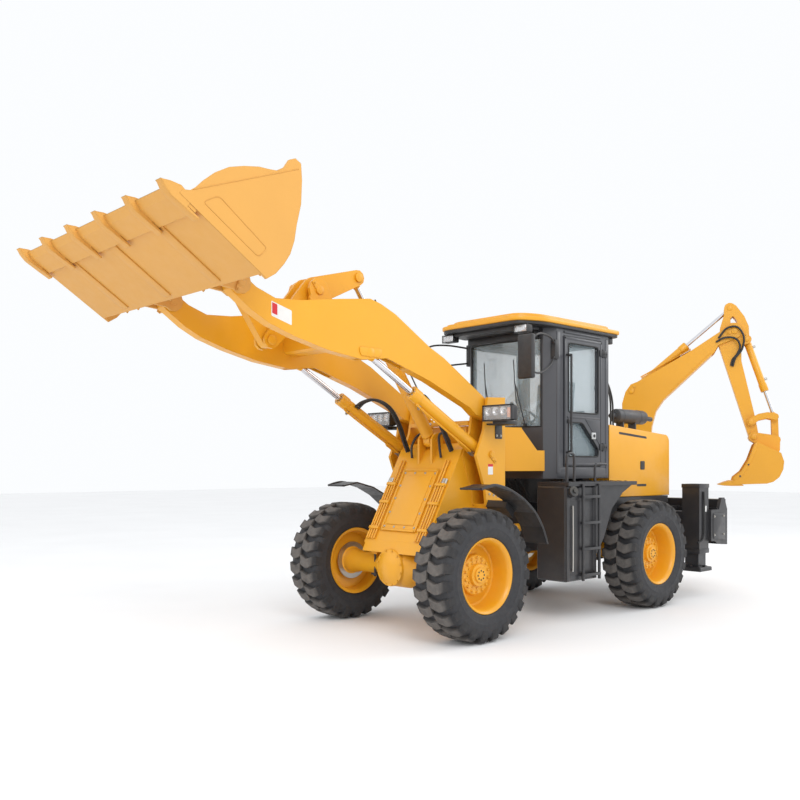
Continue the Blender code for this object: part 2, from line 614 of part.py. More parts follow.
# ---- front chassis ----
def front_frame(parent):
    body = [(0.60, 0.60), (1.12, 0.60), (1.20, 0.80), (1.56, 0.80), (1.06, 1.70), (0.98, 1.76), (0.68, 1.76),
            (0.68, 1.10), (0.60, 0.98)]
    shapes = [plate(body, -FRAME_HALF, FRAME_HALF)]
    shapes.append(plate([(1.50, 0.72), (1.60, 0.72), (1.545, 0.83), (1.46, 0.83)], -0.40, 0.40))
    tower = [(0.65, 1.10), (0.92, 1.17), (0.937, 1.32), (1.065, 1.635), (0.957, 1.87), (0.90, 2.19), (0.65, 2.20)]
    shapes += mirrored(lambda side: [
        plate(tower, *span(side, TOWER_OUTER - TOWER_PLATE, TOWER_OUTER)),
        plate(tower, *span(side, TOWER_INNER - TOWER_PLATE, TOWER_INNER)),
        box((0.651, span(side, 0.36, TOWER_OUTER - 0.01)[0], 1.101), (0.685, span(side, 0.36, TOWER_OUTER - 0.01)[1], 2.02)),
        box((0.66, span(side, 0.36, TOWER_OUTER - 0.01)[0], 1.102), (0.90, span(side, 0.36, TOWER_OUTER - 0.01)[1], 1.18)),
        cross_pin(ARM_ROOT, *span(side, TOWER_INNER - 0.045, TOWER_OUTER + 0.02), 0.035),
        cross_pin(LIFT_LOW, *span(side, TOWER_INNER - 0.045, TOWER_OUTER + 0.02), 0.028),
        box((1.416 - 0.11, span(side, 0.27, 0.36)[0], AXLE_HEIGHT + AXLE_TUBE + GAP),
            (1.416 + 0.11, span(side, 0.27, 0.36)[1], 0.83)),
        box((STEER_FRONT[0] - 0.045, span(side, 0.24, 0.35)[0], STEER_Z + 0.035),
            (0.64, span(side, 0.24, 0.35)[1], STEER_Z + 0.055)),
        box((STEER_FRONT[0] - 0.045, span(side, 0.24, 0.35)[0], STEER_Z - 0.055),
            (0.64, span(side, 0.24, 0.35)[1], STEER_Z - 0.035)),
        # ears of the tilt cylinder's foot
        plate([(1.00, 1.68), (1.14, 1.56), (1.14, 1.80), *arc(TILT_LOW, 0.075, 20, 160, 5), (0.98, 1.74)],
              *span(side, 0.075, 0.10)),
    ])
    shapes.append(cross_pin(TILT_LOW, -0.11, 0.11, 0.028))
    # upper and lower tongues at the machine's pivot, each inside its ear on the rear frame
    tongue_half = 0.14
    play = 0.008
    for low, high in ((REAR_BEAM_HIGH - 2 * EAR_THICK - play, REAR_BEAM_HIGH - EAR_THICK - play),
                      (0.62 + EAR_THICK + play, 0.62 + 2 * EAR_THICK + play)):
        outline = [(0.66, tongue_half), *arc((0, 0), tongue_half * 0.8, 90, 270, 8), (0.66, -tongue_half)]
        shapes.append(flat_plate(outline, low, high))
    cuts = [rod_between((0, 0, 0.5), (0, 0, 1.3), 0.04 + PLAY)]
    cuts.append(cross_pin((1.416, AXLE_HEIGHT), -0.26, 0.26, BANJO_RADIUS + 0.015, sides=20))
    node("front_frame", fused(shapes, cuts), yellow, parent)


def fender(name, side, parent):
    top = [(1.50, 1.345), (1.318, 1.378), (1.098, 1.325), (0.92, 1.24), (0.76, 1.12), (0.65, 0.98), (0.575, 0.82)]
    hub = Vector((WHEELBASE / 2, AXLE_HEIGHT))
    under = [tuple(Vector(p) + (hub - Vector(p)).normalized() * FENDER_THICK) for p in reversed(top)]
    bracket = [(0.785, 1.134), (0.90, 1.220), (0.93, 1.16), (0.82, 1.06)]
    shapes = [
        plate((top + under), *span(side, 0.80, 1.06)),
        plate(bracket[::-1], *span(side, TOWER_OUTER + GAP, 0.84)),
    ]
    node(name, fused(shapes), black_plastic, parent)


# ---- loader ----
def loader_arm(pivot_at):
    top = [(3.574, 2.975), (3.463, 2.88), (3.291, 2.82), (3.05, 2.835), (2.671, 2.895), (2.33, 2.941), (2.212, 2.913),
           (2.041, 2.844), (1.628, 2.602), (1.439, 2.517), (0.849, 2.165)]
    tip = arc(ARM_TIP, 0.09, -60, 90, 6)
    bottom = [(1.00, 2.02), (1.10, 2.09), (1.626, 2.30), (2.06, 2.435), (2.137, 2.458), (2.421, 2.425), (2.778, 2.47),
              (3.10, 2.545), (3.34, 2.62), (3.50, 2.70)]
    outline = [*arc(ARM_ROOT, 0.10, 110, 290, 6), *bottom, *tip, *top[1:]]
    shapes = mirrored(lambda side: [plate(outline, *span(side, ARM_Y - ARM_THICK / 2, ARM_Y + ARM_THICK / 2))])
    shapes.append(box((2.28, -ARM_Y, 2.55), (2.50, ARM_Y, 2.80), 0.02))
    bracket = [(2.30, 2.60), (2.48, 2.60), (2.66, 2.96), *arc(ROCKER_MID, 0.105, -30, 170, 6), (2.34, 2.82)]
    shapes += mirrored(lambda side: [plate(bracket, *span(side, 0.125, 0.155))])
    shapes.append(cross_pin(ROCKER_MID, -0.165, 0.165, 0.034))
    half = ARM_THICK / 2 + 0.02
    cuts = mirrored(lambda side: [
        cross_pin(ARM_ROOT, *span(side, ARM_Y - half, ARM_Y + half), 0.035 + PLAY),
        cross_pin(ARM_TIP, *span(side, ARM_Y - half, ARM_Y + half), 0.032 + PLAY),
        # slot round the lift rod's eye
        plate([(LIFT_HIGH[0] - 0.42, 2.20), (LIFT_HIGH[0] + 0.14, 2.30), (LIFT_HIGH[0] + 0.12, 2.58),
               (LIFT_HIGH[0] - 0.10, 2.63), (LIFT_HIGH[0] - 0.42, 2.47)], *span(side, ARM_Y - 0.034, ARM_Y + 0.034)),
    ])
    node("loader_arm", fused(shapes, cuts), yellow, pivot_at)


def rocker(pivot_at):
    upper = capsule(ROCKER_TOP, ROCKER_MID, 0.07, 0.12)
    lower = capsule(ROCKER_MID, ROCKER_LOW, 0.12, 0.07)
    shapes = mirrored(lambda side: [
        plate(upper, *span(side, 0.05, 0.08)),
        plate(lower, *span(side, 0.051, 0.079)),
    ])
    shapes.append(cross_pin(ROCKER_MID, -0.118, 0.118, 0.065))
    shapes.append(box((2.66, -0.06, 2.80), (2.74, 0.06, 2.88)))
    node("rocker", fused(shapes, [cross_pin(ROCKER_MID, -0.2, 0.2, 0.034 + PLAY)]), yellow, pivot_at)


def loader_bucket(bucket_pivot, turn, link_pin_local):
    """Built in its own frame: origin on the pivot, X forward along the floor, Z up from it."""
    inside = BUCKET_WALL
    outer = [(0.90, -0.20), (0.16, -0.20), (0.13, -0.15), (0.105, -0.02), (0.105, 0.12), (0.13, 0.26),
             (0.185, 0.41), (0.27, 0.55), (0.35, 0.655)]
    inner = [(0.37, 0.64), (0.29, 0.535), (0.207, 0.40), (0.153, 0.255), (0.128, 0.12), (0.128, -0.015),
             (0.15, -0.135), (0.175, -0.20 + inside), (0.90, -0.20 + inside)]
    shell = plate(outer + inner, -BUCKET_HALF + 0.002, BUCKET_HALF - 0.002)
    cheek = [(0.888, -0.1985), (0.885, -0.165), (0.845, -0.13), (0.825, -0.08), (0.81, 0.0), (0.78, 0.10),
             (0.73, 0.20), (0.655, 0.29), (0.57, 0.375), (0.50, 0.425), (0.445, 0.47), (0.425, 0.53), (0.425, 0.60),
             (0.395, 0.645), (0.34, 0.65), (0.27, 0.56), (0.185, 0.42), (0.13, 0.27), (0.085, 0.17), (0.06, 0.07),
             (0.06, -0.02), (0.075, -0.12), (0.11, -0.1985)]
    shapes = [shell]
    shapes += mirrored(lambda side: [plate(cheek, *span(side, BUCKET_HALF - BUCKET_SIDE, BUCKET_HALF))])
    edge = [(0.74, -0.222), (0.90, -0.222), (0.965, -0.200), (0.90, -0.185), (0.74, -0.190)]
    shapes.append(plate(edge, -BUCKET_HALF + 0.005, BUCKET_HALF - 0.005))
    tooth = [(1.03, -0.215), (0.90, -0.150), (0.80, -0.162), (0.80, -0.244), (0.92, -0.250)]
    for index in range(TOOTH_COUNT):
        y = (BUCKET_HALF - 0.036) * (2 * index / (TOOTH_COUNT - 1) - 1)
        shapes.append(plate(tooth, y - 0.034, y + 0.034))
    lug = [*arc((0, 0), 0.085, 75, 285, 6), (0.135, -0.145), (0.115, -0.02), (0.115, 0.12)]
    shapes += mirrored(lambda side: [
        plate(lug, *span(side, ARM_Y - 0.085, ARM_Y - 0.057)),
        plate(lug, *span(side, ARM_Y + 0.057, ARM_Y + 0.085)),
        cross_pin((0, 0), *span(side, ARM_Y - 0.10, ARM_Y + 0.10), 0.032),
        plate([*arc(link_pin_local, 0.065, 100, 260, 5), (0.115, 0.10), (0.14, 0.26), (0.195, 0.41)],
              *span(side, 0.046, 0.07)),
    ])
    node("loader_bucket", fused(shapes), pale_yellow, bucket_pivot, turn)


def loader(front):
    arm = pivot("loader_lift_pivot", (ARM_ROOT[0], 0, ARM_ROOT[1]), front)
    loader_arm(arm)
    for name, side in (("left", 1), ("right", -1)):
        y = side * ARM_Y
        base = pivot(f"lift_barrel_{name}_pivot", (LIFT_LOW[0], y, LIFT_LOW[1]), front)
        shape = hollow_barrel(LIFT_LOW, LIFT_HIGH, y, LIFT_BARREL, LIFT_ROD + PLAY, LIFT_BARREL_LENGTH, 0.05, 0.06)
        shape = fused([shape], [cross_pin(LIFT_LOW, y - 0.1, y + 0.1, 0.028 + PLAY)])
        node(f"lift_barrel_{name}", shape, yellow, base)
        node(f"lift_rod_{name}", long_rod(LIFT_LOW, LIFT_HIGH, y, LIFT_ROD, 0.62, 0.027, 0.055), chrome, base)
    base = pivot("tilt_barrel_pivot", (TILT_LOW[0], 0, TILT_LOW[1]), front)
    shape = hollow_barrel(TILT_LOW, ROCKER_TOP, 0, TILT_BARREL, TILT_ROD + PLAY, TILT_BARREL_LENGTH, 0.065, 0.065)
    shape = fused([shape], [cross_pin(TILT_LOW, -0.1, 0.1, 0.028 + PLAY)])
    node("tilt_barrel", shape, yellow, base)
    node("tilt_rod", long_rod(TILT_LOW, ROCKER_TOP, 0, TILT_ROD, 0.66, 0.042, 0.06), chrome, base)
    rocker_pivot = pivot("rocker_pivot", (ROCKER_MID[0], 0, ROCKER_MID[1]), arm)
    rocker(rocker_pivot)
    turn = (Matrix.Translation((ARM_TIP[0], 0, ARM_TIP[1]))
            @ Matrix.Rotation(math.radians(-BUCKET_ANGLE), 4, "Y"))
    bucket = pivot("loader_bucket_pivot", (0, 0, 0), arm, turn)
    loader_bucket(bucket, turn, LINK_PIN)
    pin = turn @ Vector((LINK_PIN[0], 0, LINK_PIN[1]))
    link_pivot = pivot("bucket_link_pivot", (ROCKER_LOW[0], 0, ROCKER_LOW[1]), rocker_pivot)
    link = plate(capsule(ROCKER_LOW, (pin.x, pin.z), 0.06, 0.055), -0.04, 0.04)
    node("bucket_link", link, yellow, link_pivot)


def steering(root):
    """The two steering cylinders, flat in the plane of the pins."""
    for name, side in (("left", 1), ("right", -1)):
        start = Vector((STEER_REAR[0], side * STEER_REAR[1], STEER_Z))
        end = Vector((STEER_FRONT[0], side * STEER_FRONT[1], STEER_Z))
        way = (end - start).normalized()
        base = pivot(f"steer_barrel_{name}_pivot", start, root)
        up = Vector((0, 0, 0.03))
        barrel = fused(
            [rod_between(start + way * 0.03, start + way * STEER_BARREL_LENGTH, STEER_BARREL),
             rod_between(start - up, start + up, 0.042)],
            [rod_between(start + way * 0.06, start + way * 0.8, STEER_ROD + PLAY, sides=12)])
        node(f"steer_barrel_{name}", barrel, yellow, base)
        rod = fused([rod_between(start + way * 0.34, end - way * 0.03, STEER_ROD, sides=12),
                     rod_between(end - up, end + up, 0.04)])
        node(f"steer_rod_{name}", rod, chrome, base)


# ---- hoe ----
def hoe(root):
    """The side-shift carriage and everything on it. The hoe is built in its own turned frame, X pointing away."""
    carriage = pivot("hoe_slide_pivot", (POST[0], POST[1], 0.86), root)
    low_y, high_y = POST[1] - CARRIAGE_HALF, POST[1] + CARRIAGE_HALF
    back = RAIL_BACK - 0.006
    shapes = [
        box((back - 0.05, low_y, 0.50), (back, high_y, 1.24)),
        box((back - 0.05, low_y, 1.17), (-2.89, high_y, 1.215)),
        box((back - 0.05, low_y, 0.52), (-2.93, high_y, 0.575)),
    ]
    for low, high in ((0.52, 0.58), (1.14, 1.20)):
        outline = [(back - 0.03, POST[1] - 0.18), (back - 0.03, POST[1] + 0.18), *arc(POST, 0.11, 60, 300, 8)]
        shapes.append(flat_plate(outline[::-1], low, high))
        shapes.append(rod_between((*POST, low - 0.03), (*POST, high + 0.03), 0.05))
    node("hoe_carriage", fused(shapes), black, carriage)

    turn = Matrix.Translation((*POST, 0)) @ Matrix.Rotation(math.radians(SWUNG), 4, "Z")
    swing = pivot("hoe_swing_pivot", (0, 0, 0.86), carriage, turn)
    cheek = [(0.02, 1.245), (0.16, 1.20), *arc(BOOM_FOOT, 0.12, -60, 70, 5), (0.16, 1.52),
             *arc(BOOM_CYL_LOW, 0.09, 40, 190, 6), (-0.08, 1.30), (-0.06, 1.245)]
    shapes = mirrored(lambda side: [plate(cheek, *span(side, 0.128, 0.158))])
    shapes += [
        box((-0.06, -0.157, 1.245), (0.14, 0.157, 1.29)),
        rod_between((0, 0, 0.595), (0, 0, 1.125), 0.085),
        box((0.04, -0.08, 0.60), (0.15, 0.08, 1.12)),
        box((0.13, -0.10, 0.62), (0.18, 0.10, 1.17)),
        box((0.13, -0.10, 1.15), (0.145, 0.10, 1.28)),
        cross_pin(BOOM_FOOT, -0.17, 0.17, 0.036),
        cross_pin(BOOM_CYL_LOW, -0.17, 0.17, 0.028),
    ]
    cuts = [rod_between((0, 0, 1.0), (0, 0, 1.238), 0.05 + PLAY), rod_between((0, 0, 0.4), (0, 0, 0.65), 0.05 + PLAY)]
    node("swing_post", fused(shapes, cuts), yellow, swing, turn)

    boom = pivot("hoe_boom_pivot", (BOOM_FOOT[0], 0, BOOM_FOOT[1]), swing, turn)
    outline = [*arc(BOOM_FOOT, 0.10, 180, 360, 6), (0.42, 1.70), (0.446, 2.08), (0.471, 2.18), (0.50, 2.29),
               (0.60, 2.44), (1.247, 3.053), (1.30, 3.15), *arc(BOOM_TIP, 0.10, -70, 110, 6), (1.315, 3.325),
               (0.957, 3.09), (0.26, 2.695), (0.17, 2.66), (0.10, 2.56), (0.055, 2.40), (0.06, 2.20), (0.11, 1.80)]
    shapes = [plate(outline, -BOOM_HALF, BOOM_HALF)]
    cuts = [
        plate([(1.10, 3.6), (1.10, 3.12), (1.22, 3.02), (1.40, 2.95), (1.75, 2.95), (1.75, 3.6)],
              -STICK_HALF - 0.006, STICK_HALF + 0.006),
        # slot on the machine's side for the boom cylinder, and the seat of the stick cylinder
        plate([(-0.3, 1.1), (0.20, 1.1), (0.20, 1.42), (0.235, 1.8), (0.27, 2.50), (0.12, 2.60), (-0.3, 2.62)], -0.07, 0.07),
        plate([(-0.1, 2.50), (0.20, 2.47), (0.98, 3.02), (1.25, 3.15), (1.25, 3.5), (-0.1, 3.5)], -0.068, 0.068),
        cross_pin(BOOM_FOOT, -0.2, 0.2, 0.036 + PLAY),
    ]
    shape = fused(shapes, cuts)
    pins = [
        cross_pin(STICK_CYL_LOW, -BOOM_HALF - 0.015, BOOM_HALF + 0.015, 0.026),
        cross_pin(BOOM_TIP, -BOOM_HALF - 0.015, BOOM_HALF + 0.015, 0.034),
    ]
    node("hoe_boom", fused([shape, *pins]), yellow, boom, turn)

    def hoe_cylinder(name, low, high, radius, length, inside, parent, rod_eye, pin_radius):
        base = pivot(f"{name}_barrel_pivot", (low[0], 0, low[1]), parent, turn)
        shape = hollow_barrel(low, high, 0, radius, HOE_ROD + PLAY, length, 0.05, 0.055)
        shape = fused([shape], [cross_pin(low, -0.1, 0.1, pin_radius + PLAY)])
        node(f"{name}_barrel", shape, yellow, base, turn)
        node(f"{name}_rod", long_rod(low, high, 0, HOE_ROD, inside, rod_eye, 0.048), chrome, base, turn)

    hoe_cylinder("boom", BOOM_CYL_LOW, BOOM_CYL_HIGH, BOOM_CYL_RADIUS, BOOM_BARREL_LENGTH, 0.12, swing, 0.045, 0.028)
    hoe_cylinder("stick", STICK_CYL_LOW, STICK_CYL_HIGH, STICK_CYL_RADIUS, STICK_BARREL_LENGTH, 0.62, boom, 0.035, 0.026)

    stick = pivot("hoe_stick_pivot", (BOOM_TIP[0], 0, BOOM_TIP[1]), boom, turn)
    outline = [(1.306, 3.14), (1.647, 2.02), (1.672, 1.94), *arc(STICK_TIP, 0.07, 190, 350, 5), (1.79, 1.975),
               (1.765, 2.12), (1.74, 2.24), (1.585, 2.93), (1.585, 3.07), (1.61, 3.14), *arc(BUCKET_CYL_TOP, 0.06, -60, 60, 4),
               (1.675, 3.385), (1.62, 3.52), (1.52, 3.665), *arc(STICK_CYL_HIGH, 0.07, 50, 180, 5), (1.366, 3.54),
               (1.32, 3.38)]
    shapes = [plate(outline, -STICK_HALF, STICK_HALF)]
    cuts = [
        plate([(1.45, 3.50), (1.45, 3.44), (1.535, 3.44), (1.525, 3.47), (1.48, 3.53)], -0.2, 0.2),
        plate([(1.2, 3.44), (1.46, 3.44), (1.53, 3.56), (1.53, 3.8), (1.2, 3.8)], -0.045, 0.045),
        plate([(1.60, 3.32), (1.585, 3.10), (1.62, 2.90), (1.9, 2.90), (1.9, 3.32)], -0.058, 0.058),
        cross_pin(BOOM_TIP, -0.2, 0.2, 0.034 + PLAY),
        cross_pin(STICK_TIP, -0.2, 0.2, 0.030 + PLAY),
    ]
    shape = fused(shapes, cuts)
    shape = fused([shape, cross_pin(BUCKET_CYL_TOP, -STICK_HALF - 0.015, STICK_HALF + 0.015, 0.024),
                   cross_pin(LEVER_FOOT, -0.16, 0.16, 0.026)])
    node("hoe_stick", shape, yellow, stick, turn)
    hoe_cylinder("bucket", BUCKET_CYL_TOP, LEVER_TOP, BUCKET_CYL_RADIUS, BUCKET_BARREL_LENGTH, 0.36, stick, 0.032, 0.024)

    lever = pivot("hoe_lever_pivot", (LEVER_FOOT[0], 0, LEVER_FOOT[1]), stick, turn)
    bow = [*arc(LEVER_FOOT, 0.05, 130, 320, 6), (1.80, 2.145), (1.90, 2.165), *arc(LEVER_TOP, 0.045, -80, 80, 5),
           (1.90, 2.245), (1.79, 2.225)]
    shapes = mirrored(lambda side: [plate(bow, *span(side, 0.130, 0.152))])
    shapes.append(cross_pin((1.918, 2.222), -0.14, 0.14, 0.016, sides=10))
    node("hoe_lever", fused(shapes, [cross_pin(LEVER_FOOT, -0.2, 0.2, 0.026 + PLAY)]), yellow, lever, turn)

    link = pivot("hoe_link_pivot", (LEVER_TOP[0], 0, LEVER_TOP[1]), lever, turn)
    strap = capsule(LEVER_TOP, HOE_LINK_LOW, 0.042, 0.042)
    middle = [along(LEVER_TOP, HOE_LINK_LOW, d) for d in (0.10, 0.20)]
    shapes = mirrored(lambda side: [plate(strap, *span(side, 0.045, 0.065))])
    shapes.append(plate(capsule(*middle, 0.03, 0.03, 4), -0.05, 0.05))
    node("hoe_link", fused(shapes), yellow, link, turn)

    bucket = pivot("hoe_bucket_pivot", (STICK_TIP[0], 0, STICK_TIP[1]), stick, turn)
    outer = [(1.76, 1.855), (2.05, 1.71), (2.085, 1.60), (2.075, 1.50), (2.03, 1.40), (1.96, 1.34), (1.88, 1.315),
             (1.50, 1.300), (1.46, 1.335), (1.48, 1.40), (1.57, 1.475), (1.66, 1.63), (1.73, 1.83)]
    wall = HOE_BUCKET_WALL
    inner = [(1.70, 1.868), (1.76, 1.855 - wall), (2.035, 1.70), (2.067, 1.60), (2.057, 1.505), (2.016, 1.412),
             (1.953, 1.357), (1.878, 1.334), (1.50, 1.320), (1.40, 1.34), (1.40, 1.60), (1.5, 1.86)]
    shapes = [plate(outer, -HOE_BUCKET_HALF, HOE_BUCKET_HALF)]
    cut = plate(inner, -HOE_BUCKET_HALF + wall, HOE_BUCKET_HALF - wall)
    shape = fused(shapes, [cut])
    ear = [*arc(STICK_TIP, 0.065, 60, 230, 6), (1.78, 1.82), (2.03, 1.70), (2.05, 1.75),
           *arc(HOE_LINK_LOW, 0.06, -30, 90, 4)]
    more = mirrored(lambda side: [plate(ear, *span(side, 0.097, 0.122))])
    more.append(cross_pin(STICK_TIP, -0.13, 0.13, 0.030))
    tooth = [(1.285, 1.296), (1.42, 1.345), (1.56, 1.335), (1.56, 1.290), (1.42, 1.287)]
    for index in range(4):
        y = (HOE_BUCKET_HALF - 0.03) * (2 * index / 3 - 1)
        more.append(plate(tooth, y - 0.028, y + 0.028))
    node("hoe_bucket", fused([shape, *more]), yellow, bucket, turn)


def headlamp(name, side, parent):
    low_y, high_y = span(side, 0.635, 0.985)
    shapes = [
        box((0.90, low_y, 1.955), (1.02, high_y, 2.105), 0.02),
        box((0.72, span(side, TOWER_OUTER + GAP, 0.80)[0], 1.925), (0.92, span(side, TOWER_OUTER + GAP, 0.80)[1], 1.94)),
        box((0.80, span(side, 0.72, 0.88)[0], 1.925), (0.97, span(side, 0.72, 0.88)[1], 1.96)),
    ]
    node(name, fused(shapes), black_plastic, parent)


def stabiliser(name, side, root):
    at = pivot(f"stabilizer_leg_{name}_pivot", (LEG_X, side * LEG_Y, FOOT_LOW), root)
    half = LEG_HOUSING / 2 - LEG_WALL - LEG_PLAY
    foot = 0.14
    y = side * LEG_Y
    leg = fused([
        box((LEG_X - half, y - half, FOOT_LOW + 0.03), (LEG_X + half, y + half, LEG_HOUSING_HIGH - 0.02)),
        box((LEG_X - foot, y - foot, FOOT_LOW), (LEG_X + foot, y + foot, FOOT_LOW + 0.05), 0.01),
    ])
    node(f"stabilizer_leg_{name}", leg, black, at)


def stand_on_origin(root):
    """Moves the machine so that the middle of its box is over the origin."""
    bpy.context.view_layer.update()
    corners = [obj.matrix_world @ Vector(corner) for obj in product.objects if obj.type == "MESH"
               for corner in (vertex.co for vertex in obj.data.vertices)]
    middle = [(min(c[i] for c in corners) + max(c[i] for c in corners)) / 2 for i in range(2)]
    root.location.x -= middle[0]
    root.location.y -= middle[1]
    bpy.context.view_layer.update()


clear_scene()
product = collection("backhoe_loader")
cutters = collection("cutters")

yellow = material("yellow_paint", (0.85, 0.42, 0.03), 0.35)
pale_yellow = material("bucket_paint", (0.80, 0.45, 0.10), 0.45)
dark_grey = material("cab_grey_paint", (0.06, 0.065, 0.075), 0.4)
black = material("black_paint", (0.02, 0.02, 0.022), 0.45)
black_plastic = material("black_plastic", (0.025, 0.025, 0.027), 0.6)
grey_steel = material("muffler_grey", (0.08, 0.085, 0.095), 0.5, 0.3)
iron = material("engine_iron", (0.12, 0.12, 0.12), 0.6, 0.5)
rubber = material("tyre_rubber", (0.03, 0.03, 0.032), 0.8)
chrome = material("chromed_steel", (0.7, 0.7, 0.72), 0.15, 1.0)
glass = material("window_glass", (0.55, 0.65, 0.68), 0.05, 0.0, 0.35)
fabric = material("seat_vinyl", (0.03, 0.03, 0.03), 0.7)

machine = pivot("machine", (0, 0, 0))
front = pivot("steer_pivot", (0, 0, 0.88), machine)

rear_frame(machine)
axle("rear_axle", -WHEELBASE / 2, machine)
cab(machine)
cab_door(machine)
cab_inside(machine)
cab_cowl(machine)
engine_bay(machine)
tank("fuel_tank", 1, machine)
tank("hydraulic_tank", -1, machine)
front_frame(front)
axle("front_axle", WHEELBASE / 2, front)
fender("fender_left", 1, front)
fender("fender_right", -1, front)
headlamp("headlamp_left", 1, front)
headlamp("headlamp_right", -1, front)
for place, x, chassis in (("front", WHEELBASE / 2, front), ("rear", -WHEELBASE / 2, machine)):
    for hand, side in (("left", 1), ("right", -1)):
        wheel(f"{place}_{hand}", x, side, chassis)
steering(machine)
loader(front)
hoe(machine)
stabiliser("left", 1, machine)
stabiliser("right", -1, machine)
stand_on_origin(machine)
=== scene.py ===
"""Looks of the articulated backhoe loader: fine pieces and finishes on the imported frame, with a plain studio."""

import json
import math

import bmesh
import bpy
from mathutils import Matrix, Vector


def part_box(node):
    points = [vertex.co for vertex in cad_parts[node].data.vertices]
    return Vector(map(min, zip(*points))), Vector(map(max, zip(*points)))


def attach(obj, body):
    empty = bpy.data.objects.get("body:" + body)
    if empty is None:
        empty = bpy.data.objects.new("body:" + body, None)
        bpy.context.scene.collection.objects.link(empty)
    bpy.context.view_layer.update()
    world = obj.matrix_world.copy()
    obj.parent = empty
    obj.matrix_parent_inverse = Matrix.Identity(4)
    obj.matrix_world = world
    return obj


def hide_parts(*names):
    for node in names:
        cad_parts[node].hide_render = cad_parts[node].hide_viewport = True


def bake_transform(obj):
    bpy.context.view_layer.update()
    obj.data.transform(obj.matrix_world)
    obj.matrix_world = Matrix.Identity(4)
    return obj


bl_info = {
    "name": "Backhoe Loader Looks",
    "version": (1, 0, 0),
    "blender": (4, 5, 0),
    "location": "View3D > Sidebar > Loader",
    "description": "Builds the fine pieces, finishes and studio of an articulated backhoe loader",
    "category": "Object",
}

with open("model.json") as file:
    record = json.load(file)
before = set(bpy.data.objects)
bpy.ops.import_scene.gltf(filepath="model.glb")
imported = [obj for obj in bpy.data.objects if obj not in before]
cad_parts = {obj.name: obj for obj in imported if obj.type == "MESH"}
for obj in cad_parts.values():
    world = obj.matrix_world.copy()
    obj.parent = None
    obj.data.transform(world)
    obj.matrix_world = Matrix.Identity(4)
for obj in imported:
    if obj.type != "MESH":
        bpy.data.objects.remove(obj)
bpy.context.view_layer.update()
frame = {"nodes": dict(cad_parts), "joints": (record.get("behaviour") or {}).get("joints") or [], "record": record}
JOINTS = {joint["name"]: joint for joint in frame["joints"]}
BODY_OF = {node: body for body, nodes in frame["record"]["behaviour"]["bodies"].items() for node in nodes}

# The machine's own frame: X = 0 at the steering pivot, Y = 0 in its middle plane, Z = 0 on the ground.
ORIGIN = Vector((*JOINTS["steer"]["pos_m"][:2], 0))
MACHINE = Matrix.Translation(ORIGIN)
HOE_TURN = math.atan2(-JOINTS["hoe_boom"]["axis"][0], JOINTS["hoe_boom"]["axis"][1])
POST = Vector((*JOINTS["hoe_swing"]["pos_m"][:2], 0))
HOE = Matrix.Translation(POST) @ Matrix.Rotation(HOE_TURN, 4, "Z")
BUCKET_NOSE_UP = math.radians(34.0)
BUCKET = (Matrix.Translation(Vector((JOINTS["bucket_tilt"]["pos_m"][0], ORIGIN.y, JOINTS["bucket_tilt"]["pos_m"][2])))
          @ Matrix.Rotation(-BUCKET_NOSE_UP, 4, "Y"))
SIDES = (("left", 1), ("right", -1))
BOTH = (1, -1)
WHEELS = ("front_left", "front_right", "rear_left", "rear_right")

# Axles and the distances of side faces from the middle plane, in metres.
AXLE_X = 1.416
AXLE_HEIGHT = 0.586
TYRE_RADIUS = 0.586
ARM_Y = 0.50
ARM_FACE = 0.55
TOWER_FACE = 0.605
DOOR_FACE = 0.612
CAB_FLOOR = 1.4703

# Pins of the loader, as (x, z) in the machine's frame.
ARM_ROOT = (0.80, 2.07)
LIFT_FOOT = (0.85, 1.65)
LIFT_EYE = (2.33, 2.49)
ROCKER_TOP = (2.06, 3.23)
ROCKER_MID = (2.56, 3.04)
ROCKER_LOW = (3.00, 2.578)
TILT_FOOT = (1.06, 1.79)

# Pins of the hoe, as (x, z) in the hoe's frame.
BOOM_FOOT = (0.28, 1.30)
BOOM_BARREL_FOOT = (0.0, 1.58)
BOOM_ROD_EYE = (0.125, 2.36)
STICK_PIVOT = (1.50, 3.33)
STICK_BARREL_FOOT = (0.18, 2.565)
STICK_ROD_EYE = (1.44, 3.637)
BUCKET_BARREL_FOOT = (1.65, 3.213)
BUCKET_ROD_EYE = (1.99, 2.184)
LEVER_PIVOT = (1.70, 2.121)
HOE_BUCKET_PIVOT = (1.735, 1.925)


def pin(joint, frame_of=MACHINE):
    """The (x, z) of a hinge in the frame that its pieces are drawn in."""
    place = frame_of.inverted() @ Vector(JOINTS[joint]["pos_m"])
    return place.x, place.z


def span(side, inner, outer):
    """The low and high Y between two distances from the middle plane on one side."""
    return tuple(sorted((side * inner, side * outer)))


def on_side(place, y):
    """A point at y over an (x, z) place."""
    return place[0], y, place[1]


# ---- mesh making, every shape with its place in its mesh ----
def from_bmesh(work, name="part"):
    mesh = bpy.data.meshes.new(name)
    work.to_mesh(mesh)
    work.free()
    return mesh


def block(low, high, bevel=0.003, segments=2):
    work = bmesh.new()
    bmesh.ops.create_cube(work, size=1.0)
    size = Vector(high) - Vector(low)
    bmesh.ops.scale(work, vec=size, verts=work.verts)
    bmesh.ops.translate(work, vec=(Vector(high) + Vector(low)) / 2, verts=work.verts)
    width = min(bevel, min(size) * 0.3)
    if width > 0:
        bmesh.ops.bevel(work, geom=work.edges[:], offset=width, segments=segments, affect="EDGES", profile=0.5)
    return from_bmesh(work)


def side_block(side, low, high, bevel=0.003, segments=2):
    """A block between an inner and an outer distance from the middle plane on one side."""
    near, far = span(side, low[1], high[1])
    return block((low[0], near, low[2]), (high[0], far, high[2]), bevel, segments)


